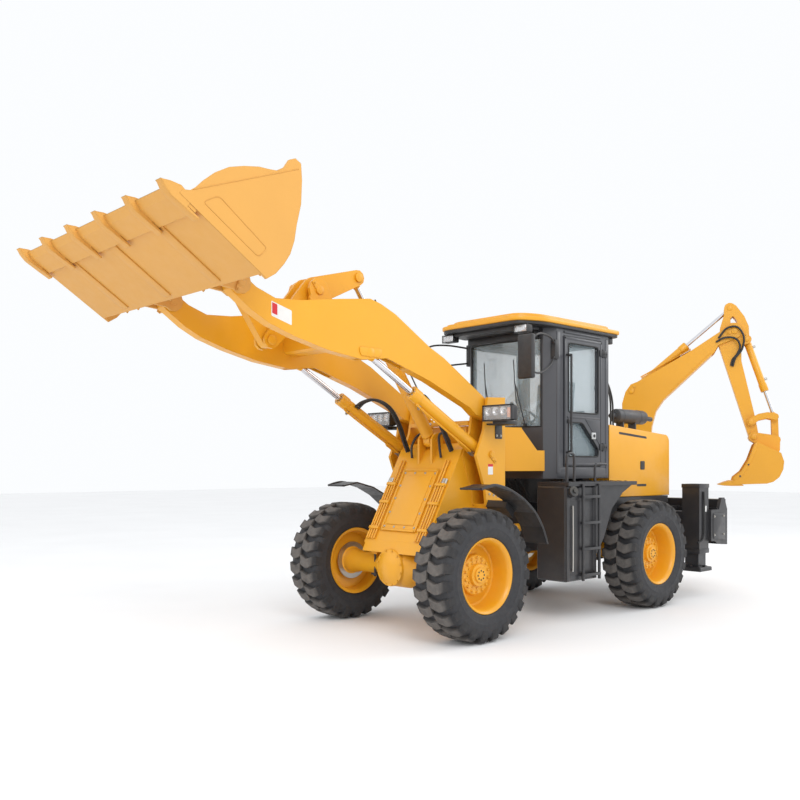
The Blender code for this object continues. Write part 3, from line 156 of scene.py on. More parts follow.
def bezel(low, high, bar_y, bar_z, bevel):
    """Four bars round the edge of a box that faces along X."""
    (x1, y1, z1), (x2, y2, z2) = low, high
    return [block((x1, y1, z1), (x2, y2, z1 + bar_z), bevel), block((x1, y1, z2 - bar_z), (x2, y2, z2), bevel),
            block((x1, y1, z1), (x2, y1 + bar_y, z2), bevel), block((x1, y2 - bar_y, z1), (x2, y2, z2), bevel)]


def rod(start, end, radius, end_radius=None, sides=24, bevel=0.0):
    start, end = Vector(start), Vector(end)
    work = bmesh.new()
    bmesh.ops.create_cone(
        work, cap_ends=True, segments=sides, radius1=radius,
        radius2=radius if end_radius is None else end_radius, depth=(end - start).length,
    )
    if bevel:
        rims = [edge for edge in work.edges if any(len(face.verts) > 4 for face in edge.link_faces)]
        bmesh.ops.bevel(work, geom=rims, offset=bevel, segments=2, affect="EDGES", profile=0.5)
    turn = (end - start).to_track_quat("Z", "Y").to_matrix().to_4x4()
    bmesh.ops.transform(work, matrix=Matrix.Translation((start + end) / 2) @ turn, verts=work.verts)
    return from_bmesh(work)


def bolt(at, axis, radius=0.012, height=0.009):
    """A hexagon head on a washer, standing on a surface point."""
    at, axis = Vector(at), Vector(axis).normalized()
    washer = rod(at, at + axis * height * 0.25, radius * 1.35, sides=14)
    head = rod(at + axis * height * 0.2, at + axis * height, radius, radius * 0.93, sides=6)
    return joined([washer, head])


def plate(outline, low_y, high_y, bevel=0.0025):
    """A flat plate with its outline in XZ."""
    work = bmesh.new()
    base = [work.verts.new((x, low_y, z)) for x, z in outline]
    face = work.faces.new(base)
    grown = bmesh.ops.extrude_face_region(work, geom=[face])
    moved = [item for item in grown["geom"] if isinstance(item, bmesh.types.BMVert)]
    bmesh.ops.translate(work, vec=(0, high_y - low_y, 0), verts=moved)
    bmesh.ops.recalc_face_normals(work, faces=work.faces)
    if bevel:
        rims = [e for e in work.edges if abs(e.verts[0].co.y - e.verts[1].co.y) < 1e-6]
        bmesh.ops.bevel(work, geom=rims, offset=bevel, segments=2, affect="EDGES", profile=0.5, clamp_overlap=True)
    bmesh.ops.triangulate(work, faces=[f for f in work.faces if len(f.verts) > 4])
    return from_bmesh(work)


def side_plate(outline, side, inner, outer, bevel=0.0025):
    """A flat plate between two distances from the middle plane on one side."""
    return plate(outline, *span(side, inner, outer), bevel)


def flat(outline, low_z, high_z, bevel=0.0025):
    """A flat plate with its outline in XY."""
    made = plate([(x, -y) for x, y in outline], low_z, high_z, bevel)
    made.transform(Matrix.Rotation(math.pi / 2, 4, "X"))
    return made


def lathe(profile, at, axis, steps=64):
    """A closed turned shape from (radius, height) points."""
    work = bmesh.new()
    rings = []
    for step in range(steps):
        angle = 2 * math.pi * step / steps
        rings.append([work.verts.new((r * math.cos(angle), r * math.sin(angle), h)) for r, h in profile])
    closed = profile[0][0] > 1e-6
    count = len(profile)
    for step in range(steps):
        near, far = rings[step], rings[(step + 1) % steps]
        for i in range(count if closed else count - 1):
            j = (i + 1) % count
            work.faces.new((near[i], near[j], far[j], far[i]))
    bmesh.ops.remove_doubles(work, verts=work.verts, dist=1e-6)
    bmesh.ops.dissolve_degenerate(work, edges=work.edges, dist=1e-6)
    bmesh.ops.recalc_face_normals(work, faces=work.faces)
    turn = Vector(axis).to_track_quat("Z", "Y").to_matrix().to_4x4()
    bmesh.ops.transform(work, matrix=Matrix.Translation(at) @ turn, verts=work.verts)
    return from_bmesh(work)


def tube(points, radius, smooth=True, sides=12, steps=6):
    """A round tube along points, rounded through them when it is a hose."""
    points = [Vector(p) for p in points]
    route = []
    if smooth and len(points) > 2:
        ends = [2 * points[0] - points[1], *points, 2 * points[-1] - points[-2]]
        for a, b, c, d in zip(ends, ends[1:], ends[2:], ends[3:]):
            for i in range(steps):
                t = i / steps
                route.append(0.5 * (2 * b + (c - a) * t + (2 * a - 5 * b + 4 * c - d) * t * t
                                    + (3 * b - a - 3 * c + d) * t ** 3))
        route.append(points[-1])
    else:
        route = points
    work = bmesh.new()
    rings = []
    up = None
    for i, place in enumerate(route):
        way = (route[min(i + 1, len(route) - 1)] - route[max(i - 1, 0)]).normalized()
        side = way.orthogonal().normalized() if up is None else (up - way * up.dot(way)).normalized()
        up = side
        other = way.cross(side)
        ring = []
        for k in range(sides):
            angle = 2 * math.pi * k / sides
            ring.append(work.verts.new(place + radius * (math.cos(angle) * side + math.sin(angle) * other)))
        rings.append(ring)
    for near, far in zip(rings, rings[1:]):
        for k in range(sides):
            work.faces.new((near[k], near[(k + 1) % sides], far[(k + 1) % sides], far[k]))
    work.faces.new(rings[0][::-1])
    work.faces.new(rings[-1])
    bmesh.ops.recalc_face_normals(work, faces=work.faces)
    return from_bmesh(work)


def joined(meshes):
    """One mesh from several, with the sources removed."""
    work = bmesh.new()
    for mesh in meshes:
        work.from_mesh(mesh)
        bpy.data.meshes.remove(mesh)
    return from_bmesh(work)


def moved(mesh, matrix):
    mesh.transform(matrix)
    if matrix.determinant() < 0:
        mesh.flip_normals()
    return mesh


def along(start, end, distance):
    length = math.dist(start, end)
    return tuple(a + (b - a) * distance / length for a, b in zip(start, end))


def arc(middle, radius, start, end, steps=8):
    turns = [math.radians(start + (end - start) * i / steps) for i in range(steps + 1)]
    return [(middle[0] + radius * math.cos(a), middle[1] + radius * math.sin(a)) for a in turns]


def rounded(corners, radius, steps=4):
    """A closed outline with each corner rounded."""
    outline = []
    count = len(corners)
    for i, corner in enumerate(corners):
        here = Vector(corner)
        before = (Vector(corners[i - 1]) - here)
        after = (Vector(corners[(i + 1) % count]) - here)
        reach = min(radius, before.length * 0.45, after.length * 0.45)
        first, last = here + before.normalized() * reach, here + after.normalized() * reach
        for step in range(steps + 1):
            t = step / steps
            outline.append(tuple((1 - t) ** 2 * first + 2 * t * (1 - t) * here + t * t * last))
    return outline


def show(name, meshes, body, finish, place=MACHINE, replaces=(), blend=None, angle=35):
    """Joins the meshes into one finished piece that rides on a body, or, when given a blend, stays where it is with
    its place baked into its mesh.
    """
    name = name.replace(" ", "_")
    mesh = moved(joined(list(meshes)), place)
    mesh.name = name
    mesh.materials.append(FINISH[finish])
    mesh.shade_smooth()
    mesh.set_sharp_from_angle(angle=math.radians(angle))
    obj = bpy.data.objects.new(name, mesh)
    bpy.context.scene.collection.objects.link(obj)
    if blend:
        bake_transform(obj)
    else:
        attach(obj, body)
    if replaces:
        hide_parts(*replaces)
    return obj


# ---- geometry nodes: a ring of copies about an axis, and a row of copies ----
def copying_tree(name, sockets, place_points):
    """A tree that puts copies of a source object on points and realises them with one material."""
    tree = bpy.data.node_groups.get(name)
    if tree:
        return tree
    tree = bpy.data.node_groups.new(name, "GeometryNodeTree")
    inputs = (("Geometry", "Geometry"), ("Source", "Object"), ("Count", "Int"), *sockets, ("Material", "Material"))
    for label, kind in inputs:
        tree.interface.new_socket(label, in_out="INPUT", socket_type=f"NodeSocket{kind}")
    tree.interface.new_socket("Geometry", in_out="OUTPUT", socket_type="NodeSocketGeometry")
    nodes, link = tree.nodes, tree.links.new
    given = nodes.new("NodeGroupInput")
    result = nodes.new("NodeGroupOutput")
    source = nodes.new("GeometryNodeObjectInfo")
    copies = nodes.new("GeometryNodeInstanceOnPoints")
    real = nodes.new("GeometryNodeRealizeInstances")
    finish = nodes.new("GeometryNodeSetMaterial")
    link(place_points(nodes, link, given, copies), copies.inputs["Points"])
    link(given.outputs["Source"], source.inputs["Object"])
    link(source.outputs["Geometry"], copies.inputs["Instance"])
    link(copies.outputs[0], real.inputs[0])
    link(real.outputs[0], finish.inputs["Geometry"])
    link(given.outputs["Material"], finish.inputs["Material"])
    link(finish.outputs[0], result.inputs["Geometry"])
    return tree


def ring_points(nodes, link, given, copies):
    """Points on one centre, whose copies are turned about the Y axis in even steps."""
    points = nodes.new("GeometryNodePoints")
    index = nodes.new("GeometryNodeInputIndex")
    step = nodes.new("ShaderNodeMath")
    step.operation = "DIVIDE"
    step.inputs[0].default_value = 2 * math.pi
    turn = nodes.new("ShaderNodeMath")
    turn.operation = "MULTIPLY_ADD"
    rotation = nodes.new("ShaderNodeCombineXYZ")
    link(given.outputs["Count"], points.inputs["Count"])
    link(given.outputs["Centre"], points.inputs["Position"])
    link(given.outputs["Count"], step.inputs[1])
    link(index.outputs[0], turn.inputs[0])
    link(step.outputs[0], turn.inputs[1])
    link(given.outputs["First Turn"], turn.inputs[2])
    link(turn.outputs[0], rotation.inputs["Y"])
    link(rotation.outputs[0], copies.inputs["Rotation"])
    return points.outputs[0]


def row_points(nodes, link, given, copies):
    """Points at even steps from a start."""
    line = nodes.new("GeometryNodeMeshLine")
    line.mode = "OFFSET"
    link(given.outputs["Count"], line.inputs["Count"])
    link(given.outputs["Start"], line.inputs["Start Location"])
    link(given.outputs["Step"], line.inputs["Offset"])
    return line.outputs[0]


def run_tree(tree, source, **values):
    """The plain mesh that a tree makes from a source mesh, with nothing left of the tree's objects."""
    helper = bpy.data.objects.new("copied shape", source)
    carrier = bpy.data.objects.new("copies", bpy.data.meshes.new("copies"))
    for obj in (helper, carrier):
        bpy.context.scene.collection.objects.link(obj)
    modifier = carrier.modifiers.new("copies", "NODES")
    modifier.node_group = tree
    settings = {"Source": helper, **values}
    for item in tree.interface.items_tree:
        if item.item_type == "SOCKET" and item.in_out == "INPUT" and item.name in settings:
            modifier[item.identifier] = settings[item.name]
    bpy.context.view_layer.update()
    graph = bpy.context.evaluated_depsgraph_get()
    made = bpy.data.meshes.new_from_object(carrier.evaluated_get(graph))
    made.materials.clear()
    for obj in (helper, carrier):
        bpy.data.objects.remove(obj, do_unlink=True)
    bpy.data.meshes.remove(source)
    return made


def ring(source, count, first=0.0):
    tree = copying_tree("ring of copies", (("First Turn", "Float"), ("Centre", "Vector")), ring_points)
    return run_tree(tree, source, Count=count, **{"First Turn": first})


def row(source, count, start, step):
    tree = copying_tree("row of copies", (("Start", "Vector"), ("Step", "Vector")), row_points)
    return run_tree(tree, source, Count=count, Start=tuple(start), Step=tuple(step))


# ---- shader groups ----
def new_group(name, inputs, outputs):
    """A new shader group with its sockets, and its two end nodes."""
    group = bpy.data.node_groups.new(name, "ShaderNodeTree")
    kinds = {"colour": "NodeSocketColor", "value": "NodeSocketFloat", "vector": "NodeSocketVector"}
    for label, kind, default in inputs:
        socket = group.interface.new_socket(label, in_out="INPUT", socket_type=kinds[kind])
        socket.default_value = default
    for label, kind in outputs:
        group.interface.new_socket(label, in_out="OUTPUT", socket_type=kinds[kind])
    return group, group.nodes.new("NodeGroupInput"), group.nodes.new("NodeGroupOutput")


def noise(group, scale, detail=3.0, roughness=0.55, stretch=None):
    """A noise on object coordinates, optionally stretched."""
    nodes, link = group.nodes, group.links.new
    coords = nodes.new("ShaderNodeTexCoord")
    texture = nodes.new("ShaderNodeTexNoise")
    texture.inputs["Scale"].default_value = scale
    texture.inputs["Detail"].default_value = detail
    texture.inputs["Roughness"].default_value = roughness
    if stretch:
        mapping = nodes.new("ShaderNodeMapping")
        mapping.inputs["Scale"].default_value = stretch
        link(coords.outputs["Object"], mapping.inputs["Vector"])
        link(mapping.outputs[0], texture.inputs["Vector"])
    else:
        link(coords.outputs["Object"], texture.inputs["Vector"])
    return texture.outputs["Fac"]


def ranged(group, source, low, high, to_low, to_high):
    node = group.nodes.new("ShaderNodeMapRange")
    node.inputs["From Min"].default_value = low
    node.inputs["From Max"].default_value = high
    node.inputs["To Min"].default_value = to_low
    node.inputs["To Max"].default_value = to_high
    group.links.new(source, node.inputs["Value"])
    return node.outputs["Result"]


def mixed(group, factor, first, second, kind="MIX"):
    """A colour mix; first and second are sockets or plain colours."""
    node = group.nodes.new("ShaderNodeMix")
    node.data_type = "RGBA"
    node.blend_type = kind
    for socket, value in ((node.inputs["Factor"], factor), (node.inputs["A"], first), (node.inputs["B"], second)):
        if isinstance(value, bpy.types.NodeSocket):
            group.links.new(value, socket)
        else:
            socket.default_value = value
    return node.outputs["Result"]


def times(group, first, second):
    node = group.nodes.new("ShaderNodeMath")
    node.operation = "MULTIPLY"
    for socket, value in zip(node.inputs, (first, second)):
        if isinstance(value, bpy.types.NodeSocket):
            group.links.new(value, socket)
        else:
            socket.default_value = value
    return node.outputs[0]


def soft_normal(group, radius):
    """A normal that rounds hard edges by a radius in metres."""
    node = group.nodes.new("ShaderNodeBevel")
    node.samples = 4
    node.inputs["Radius"].default_value = radius
    return node.outputs["Normal"]


def sprayed_paint_group():
    """Sprayed paint: broad shade changes, dust in patches that settles low, fine orange peel and scuffs."""
    name = "sprayed paint"
    if name in bpy.data.node_groups:
        return bpy.data.node_groups[name]
    group, given, result = new_group(
        name,
        [("Paint", "colour", (0.8, 0.4, 0.02, 1)), ("Dust", "colour", (0.42, 0.34, 0.24, 1)),
         ("Dust Amount", "value", 0.12), ("Roughness", "value", 0.32), ("Scuffs", "value", 0.1),
         ("Peel", "value", 0.05)],
        [("Colour", "colour"), ("Roughness", "value"), ("Normal", "vector")],
    )
    nodes, link = group.nodes, group.links.new
    shade = ranged(group, noise(group, 1.1, 3), 0.3, 0.7, 0.955, 1.04)
    value = nodes.new("ShaderNodeHueSaturation")
    link(shade, value.inputs["Value"])
    link(given.outputs["Paint"], value.inputs["Color"])
    coords = nodes.new("ShaderNodeTexCoord")
    height = nodes.new("ShaderNodeSeparateXYZ")
    link(coords.outputs["Object"], height.inputs[0])
    low = ranged(group, height.outputs["Z"], 0.3, 1.5, 1.0, 0.12)
    patches = ranged(group, noise(group, 5.5, 6, 0.65), 0.42, 0.72, 0.0, 1.0)
    dust = times(group, times(group, low, patches), given.outputs["Dust Amount"])
    dusty = mixed(group, dust, value.outputs[0], given.outputs["Dust"])
    scratch = ranged(group, noise(group, 9.0, 8, 0.7, (1, 1, 7)), 0.68, 0.74, 0.0, 1.0)
    scuffed = mixed(group, times(group, scratch, given.outputs["Scuffs"]), dusty, (0.30, 0.22, 0.12, 1))
    link(scuffed, result.inputs["Colour"])
    rough = nodes.new("ShaderNodeMath")
    rough.operation = "MULTIPLY_ADD"
    link(ranged(group, noise(group, 14, 5), 0.3, 0.7, -0.06, 0.10), rough.inputs[0])
    rough.inputs[1].default_value = 1.0
    link(given.outputs["Roughness"], rough.inputs[2])
    link(rough.outputs[0], result.inputs["Roughness"])
    bump = nodes.new("ShaderNodeBump")
    bump.inputs["Distance"].default_value = 0.004
    link(given.outputs["Peel"], bump.inputs["Strength"])
    link(noise(group, 38, 2), bump.inputs["Height"])
    link(soft_normal(group, 0.007), bump.inputs["Normal"])
    link(bump.outputs[0], result.inputs["Normal"])
    return group


def grain_group():
    """Moulded grain or rubber: fine mottling and bump, with a grey bloom in patches."""
    name = "moulded grain"
    if name in bpy.data.node_groups:
        return bpy.data.node_groups[name]
    group, given, result = new_group(
        name,
        [("Base", "colour", (0.02, 0.02, 0.02, 1)), ("Bloom", "colour", (0.12, 0.11, 0.10, 1)),
         ("Bloom Amount", "value", 0.3), ("Roughness", "value", 0.6), ("Grain", "value", 0.15)],
        [("Colour", "colour"), ("Roughness", "value"), ("Normal", "vector")],
    )
    nodes, link = group.nodes, group.links.new
    patches = ranged(group, noise(group, 7, 7, 0.68), 0.38, 0.75, 0.0, 1.0)
    link(mixed(group, times(group, patches, given.outputs["Bloom Amount"]), given.outputs["Base"],
               given.outputs["Bloom"]), result.inputs["Colour"])
    rough = nodes.new("ShaderNodeMath")
    rough.operation = "ADD"
    link(given.outputs["Roughness"], rough.inputs[0])
    link(ranged(group, noise(group, 30, 3), 0.3, 0.7, -0.07, 0.10), rough.inputs[1])
    link(rough.outputs[0], result.inputs["Roughness"])
    bump = nodes.new("ShaderNodeBump")
    bump.inputs["Distance"].default_value = 0.003
    link(given.outputs["Grain"], bump.inputs["Strength"])
    link(noise(group, 160, 2), bump.inputs["Height"])
    link(bump.outputs[0], result.inputs["Normal"])
    return group


def metal_group():
    """Turned or brushed metal: fine streaks and a faint oil film."""
    name = "turned metal"
    if name in bpy.data.node_groups:
        return bpy.data.node_groups[name]
    group, given, result = new_group(
        name,
        [("Metal", "colour", (0.6, 0.6, 0.62, 1)), ("Film", "colour", (0.2, 0.17, 0.12, 1)),
         ("Film Amount", "value", 0.15), ("Roughness", "value", 0.2)],
        [("Colour", "colour"), ("Roughness", "value")],
    )
    link = group.links.new
    film = ranged(group, noise(group, 6, 5, 0.6), 0.45, 0.75, 0.0, 1.0)
    link(mixed(group, times(group, film, given.outputs["Film Amount"]), given.outputs["Metal"],
               given.outputs["Film"]), result.inputs["Colour"])
    rough = group.nodes.new("ShaderNodeMath")
    rough.operation = "ADD"
    link(given.outputs["Roughness"], rough.inputs[0])
    link(ranged(group, noise(group, 60, 4, 0.6, (1, 1, 9)), 0.3, 0.7, -0.05, 0.09), rough.inputs[1])
    link(rough.outputs[0], result.inputs["Roughness"])
    return group


def material(name):
    """A new material with its Principled shader."""
    made = bpy.data.materials.new(name)
    made.use_nodes = True
    return made, made.node_tree, made.node_tree.nodes["Principled BSDF"]


def grouped(name, group, values, metallic=0.0, coat=0.0):
    """A material whose colour, roughness and bump come from a group with its own values."""
    made, tree, shader = material(name)
    node = tree.nodes.new("ShaderNodeGroup")
    node.node_tree = group
    for label, value in values.items():
        node.inputs[label].default_value = value
    tree.links.new(node.outputs["Colour"], shader.inputs["Base Color"])
    tree.links.new(node.outputs["Roughness"], shader.inputs["Roughness"])
    if "Normal" in node.outputs:
        tree.links.new(node.outputs["Normal"], shader.inputs["Normal"])
    shader.inputs["Metallic"].default_value = metallic
    shader.inputs["Coat Weight"].default_value = coat
    shader.inputs["Coat Roughness"].default_value = 0.12
    return made


def paint(name, colour, roughness=0.34, dust=0.16, scuffs=0.05, coat=0.25, peel=0.06):
    return grouped(name, sprayed_paint_group(), {"Paint": (*colour, 1), "Roughness": roughness,
                                                 "Dust Amount": dust, "Scuffs": scuffs, "Peel": peel}, coat=coat)


def moulded(name, colour, roughness=0.55, bloom=0.25, grain=0.15, bloom_colour=(0.10, 0.095, 0.09)):
    return grouped(name, grain_group(), {"Base": (*colour, 1), "Roughness": roughness, "Bloom Amount": bloom,
                                         "Grain": grain, "Bloom": (*bloom_colour, 1)})


def metal(name, colour, roughness=0.18, film=0.15):
    return grouped(name, metal_group(), {"Metal": (*colour, 1), "Roughness": roughness, "Film Amount": film},
                   metallic=1.0)


def tread_rubber(name, groove, face):
    """Tyre rubber whose lug faces, marked by the 'worn' attribute, are scuffed grey."""
    made, tree, shader = material(name)
    node = tree.nodes.new("ShaderNodeGroup")
    node.node_tree = grain_group()
    node.inputs["Base"].default_value = (*groove, 1)
    node.inputs["Bloom"].default_value = (0.09, 0.08, 0.07, 1)
    node.inputs["Bloom Amount"].default_value = 0.3
    node.inputs["Roughness"].default_value = 0.74
    node.inputs["Grain"].default_value = 0.25
    mark = tree.nodes.new("ShaderNodeAttribute")
    mark.attribute_name = "worn"
    patches = ranged(tree, noise(tree, 16, 6, 0.7), 0.3, 0.62, 0.45, 1.0)
    factor = times(tree, mark.outputs["Fac"], patches)
    colour = mixed(tree, factor, node.outputs["Colour"], (*face, 1))
    tree.links.new(colour, shader.inputs["Base Color"])
    tree.links.new(node.outputs["Roughness"], shader.inputs["Roughness"])
    tree.links.new(node.outputs["Normal"], shader.inputs["Normal"])
    return made


def clear_glass(name, tint, alpha, roughness=0.02):
    """Thin window glass: a tinted, partly clear coat that still shows reflections."""
    made, tree, shader = material(name)
    smear = mixed(tree, ranged(tree, noise(tree, 2.5, 4), 0.35, 0.75, 0.0, 0.35), (*tint, 1),
                  tuple(min(1.0, c * 1.25) for c in tint) + (1,))
    tree.links.new(smear, shader.inputs["Base Color"])
    tree.links.new(ranged(tree, noise(tree, 9, 5), 0.4, 0.8, roughness, roughness + 0.05),
                   shader.inputs["Roughness"])
    shader.inputs["Alpha"].default_value = alpha
    shader.inputs["Coat Weight"].default_value = 1.0
    shader.inputs["Coat Roughness"].default_value = 0.02
    return made


def label_finish(name, colour):
    made, tree, shader = material(name)
    shade = mixed(tree, ranged(tree, noise(tree, 20, 4), 0.3, 0.7, 0.0, 0.25), (*colour, 1),
                  tuple(c * 0.8 for c in colour) + (1,))
    tree.links.new(shade, shader.inputs["Base Color"])
    shader.inputs["Roughness"].default_value = 0.4
    return made


class LoaderColours(bpy.types.PropertyGroup):
    """The colours that a user would change."""

    paint: bpy.props.FloatVectorProperty(
        name="Body Paint", description="Golden yellow of the frame, arms and hood", subtype="COLOR",
        size=3, min=0, max=1, default=(0.765, 0.355, 0.0125))
    bucket: bpy.props.FloatVectorProperty(
        name="Bucket Paint", description="Slightly paler yellow of the loader bucket", subtype="COLOR",
        size=3, min=0, max=1, default=(0.66, 0.33, 0.065))
    cab: bpy.props.FloatVectorProperty(
        name="Cab Paint", description="Dark grey of the cab and its door", subtype="COLOR",
        size=3, min=0, max=1, default=(0.052, 0.054, 0.062))
    black: bpy.props.FloatVectorProperty(
        name="Black Paint", description="Black of the tanks, rear frame and stabilisers", subtype="COLOR",
        size=3, min=0, max=1, default=(0.022, 0.022, 0.025))


class LoaderSizes(bpy.types.PropertyGroup):
    """The sizes of fine pieces that a user would change."""

    lugs: bpy.props.IntProperty(
        name="Tread Lugs", description="Lugs on each half of a tyre's tread", min=8, max=40, default=23)
    lug_height: bpy.props.FloatProperty(
        name="Lug Height", description="Depth of the tread's grooves", unit="LENGTH", min=0.01, max=0.06,
        default=0.036)
    hose: bpy.props.FloatProperty(
        name="Hose Radius", description="Radius of the hydraulic hoses", unit="LENGTH", min=0.005, max=0.03,
        default=0.0135)


FINISH = {}


def make_finishes(colours):
    """Every finish that the pieces share, by its plain name."""
    FINISH.update(
        yellow=paint("golden yellow paint", colours.paint, 0.38, 0.08, 0.03, 0.12),
        pale=paint("bucket yellow paint", colours.bucket, 0.5, 0.05, 0.06, 0.0),
        cab=paint("dark grey cab paint", colours.cab, 0.36, 0.07, 0.03, 0.25),
        black=paint("black chassis paint", colours.black, 0.40, 0.045, 0.02, 0.2),
        plastic=moulded("black moulded plastic", (0.018, 0.018, 0.02), 0.42, 0.25, 0.12),
        rubber=moulded("black hose rubber", (0.014, 0.014, 0.015), 0.48, 0.25, 0.1),
        seal=moulded("window seal rubber", (0.012, 0.012, 0.012), 0.6, 0.15, 0.1),
        sidewall=moulded("tyre sidewall rubber", (0.021, 0.0215, 0.025), 0.62, 0.3, 0.2, (0.055, 0.054, 0.056)),
        tread=tread_rubber("tyre tread rubber", (0.017, 0.017, 0.019), (0.13, 0.118, 0.108)),
        chrome=metal("chromed rod", (0.72, 0.72, 0.75), 0.14, 0.08),
        steel=metal("zinc plated steel", (0.50, 0.48, 0.44), 0.34, 0.3),
        iron=metal("dark cast iron", (0.10, 0.10, 0.10), 0.5, 0.3),
        muffler=moulded("muffler heat paint", (0.05, 0.053, 0.06), 0.45, 0.35, 0.2),
        glass=clear_glass("window glass", (0.42, 0.52, 0.56), 0.30),
        lens=clear_glass("lamp lens", (0.80, 0.82, 0.84), 0.22),
        mirror=metal("mirror glass", (0.75, 0.76, 0.78), 0.03, 0.05),
        vinyl=moulded("seat vinyl", (0.02, 0.02, 0.022), 0.5, 0.2, 0.35),
        red=label_finish("red sticker", (0.62, 0.02, 0.03)),
        white=label_finish("white sticker", (0.78, 0.78, 0.76)),
        silver=label_finish("light grey latch", (0.55, 0.56, 0.56)),
        amber=label_finish("amber lens", (0.75, 0.22, 0.03)),
    )


# The frame's material slot of each finish. A slot's first finish is the one that its frame nodes get.
SLOT_OF = {
    "yellow": "yellow_paint", "white": "yellow_paint", "red": "yellow_paint", "pale": "bucket_paint",
    "cab": "cab_grey_paint", "black": "black_paint", "plastic": "black_plastic", "rubber": "black_plastic",
    "seal": "black_plastic", "muffler": "muffler_grey", "iron": "engine_iron", "sidewall": "tyre_rubber",
    "tread": "tyre_rubber", "chrome": "chromed_steel", "steel": "chromed_steel", "mirror": "chromed_steel",
    "silver": "chromed_steel", "glass": "window_glass", "lens": "window_glass", "amber": "window_glass",
    "vinyl": "seat_vinyl",
}
FINISH_OF_SLOT = {slot: finish for finish, slot in reversed(SLOT_OF.items())}


class LOADER_OT_finishes(bpy.types.Operator):
    """Make the finishes and give each frame node the one of its slot"""

    bl_idname = "loader.finishes"
    bl_label = "Finishes"

    def execute(self, context):
        make_finishes(context.scene.loader_colours)
        for subpart in frame["record"]["subparts"]:
            node = frame["nodes"][subpart["node"]]
            node.data.materials.clear()
            node.data.materials.append(FINISH[FINISH_OF_SLOT[subpart["material_slot"]]])
        return {"FINISHED"}


# ---- wheels ----
def lug(half):
    """One tread lug on one half of the tyre, standing at the top of a wheel centred on the origin."""
    stations = [
        (0.003, 0.000, 0.586, 0.545), (0.045, 0.034, 0.586, 0.545), (0.085, 0.060, 0.5855, 0.545),
        (0.125, 0.046, 0.583, 0.540), (0.160, 0.018, 0.577, 0.530), (0.186, 0.012, 0.564, 0.515),
        (0.2005, 0.012, 0.540, 0.490), (0.2018, 0.010, 0.510, 0.470),
    ]
    work = bmesh.new()
    rings = []
    for y, turn, top, base in stations:
        wide = 0.076 if y < 0.19 else 0.064
        section = []
        for angle, radius in ((turn - wide - 0.016, base), (turn - wide, top), (turn + wide, top),
                              (turn + wide + 0.016, base)):
            section.append(work.verts.new((radius * math.sin(angle), half * y, radius * math.cos(angle))))
        rings.append(section)
    for near, far in zip(rings, rings[1:]):
        for k in range(4):
            work.faces.new((near[k], near[(k + 1) % 4], far[(k + 1) % 4], far[k]))
    work.faces.new(rings[0])
    work.faces.new(rings[-1])
    bmesh.ops.recalc_face_normals(work, faces=work.faces)
    tops = [e for e in work.edges if all(v.co.xz.length > 0.558 for v in e.verts)]
    bmesh.ops.bevel(work, geom=tops, offset=0.004, segments=1, affect="EDGES", profile=0.5, clamp_overlap=True)
    return from_bmesh(work)


def mark_worn(obj, centre, from_radius, to_radius):
    """Marks how far a tread's points stand out from the axle, for the worn faces."""
    mesh = obj.data
    mark = mesh.attributes.new("worn", "FLOAT", "POINT")
    values = []
    for vertex in mesh.vertices:
        away = math.hypot(vertex.co.x - centre.x, vertex.co.z - centre.z)
        values.append(min(1.0, max(0.0, (away - from_radius) / (to_radius - from_radius))))
    mark.data.foreach_set("value", values)


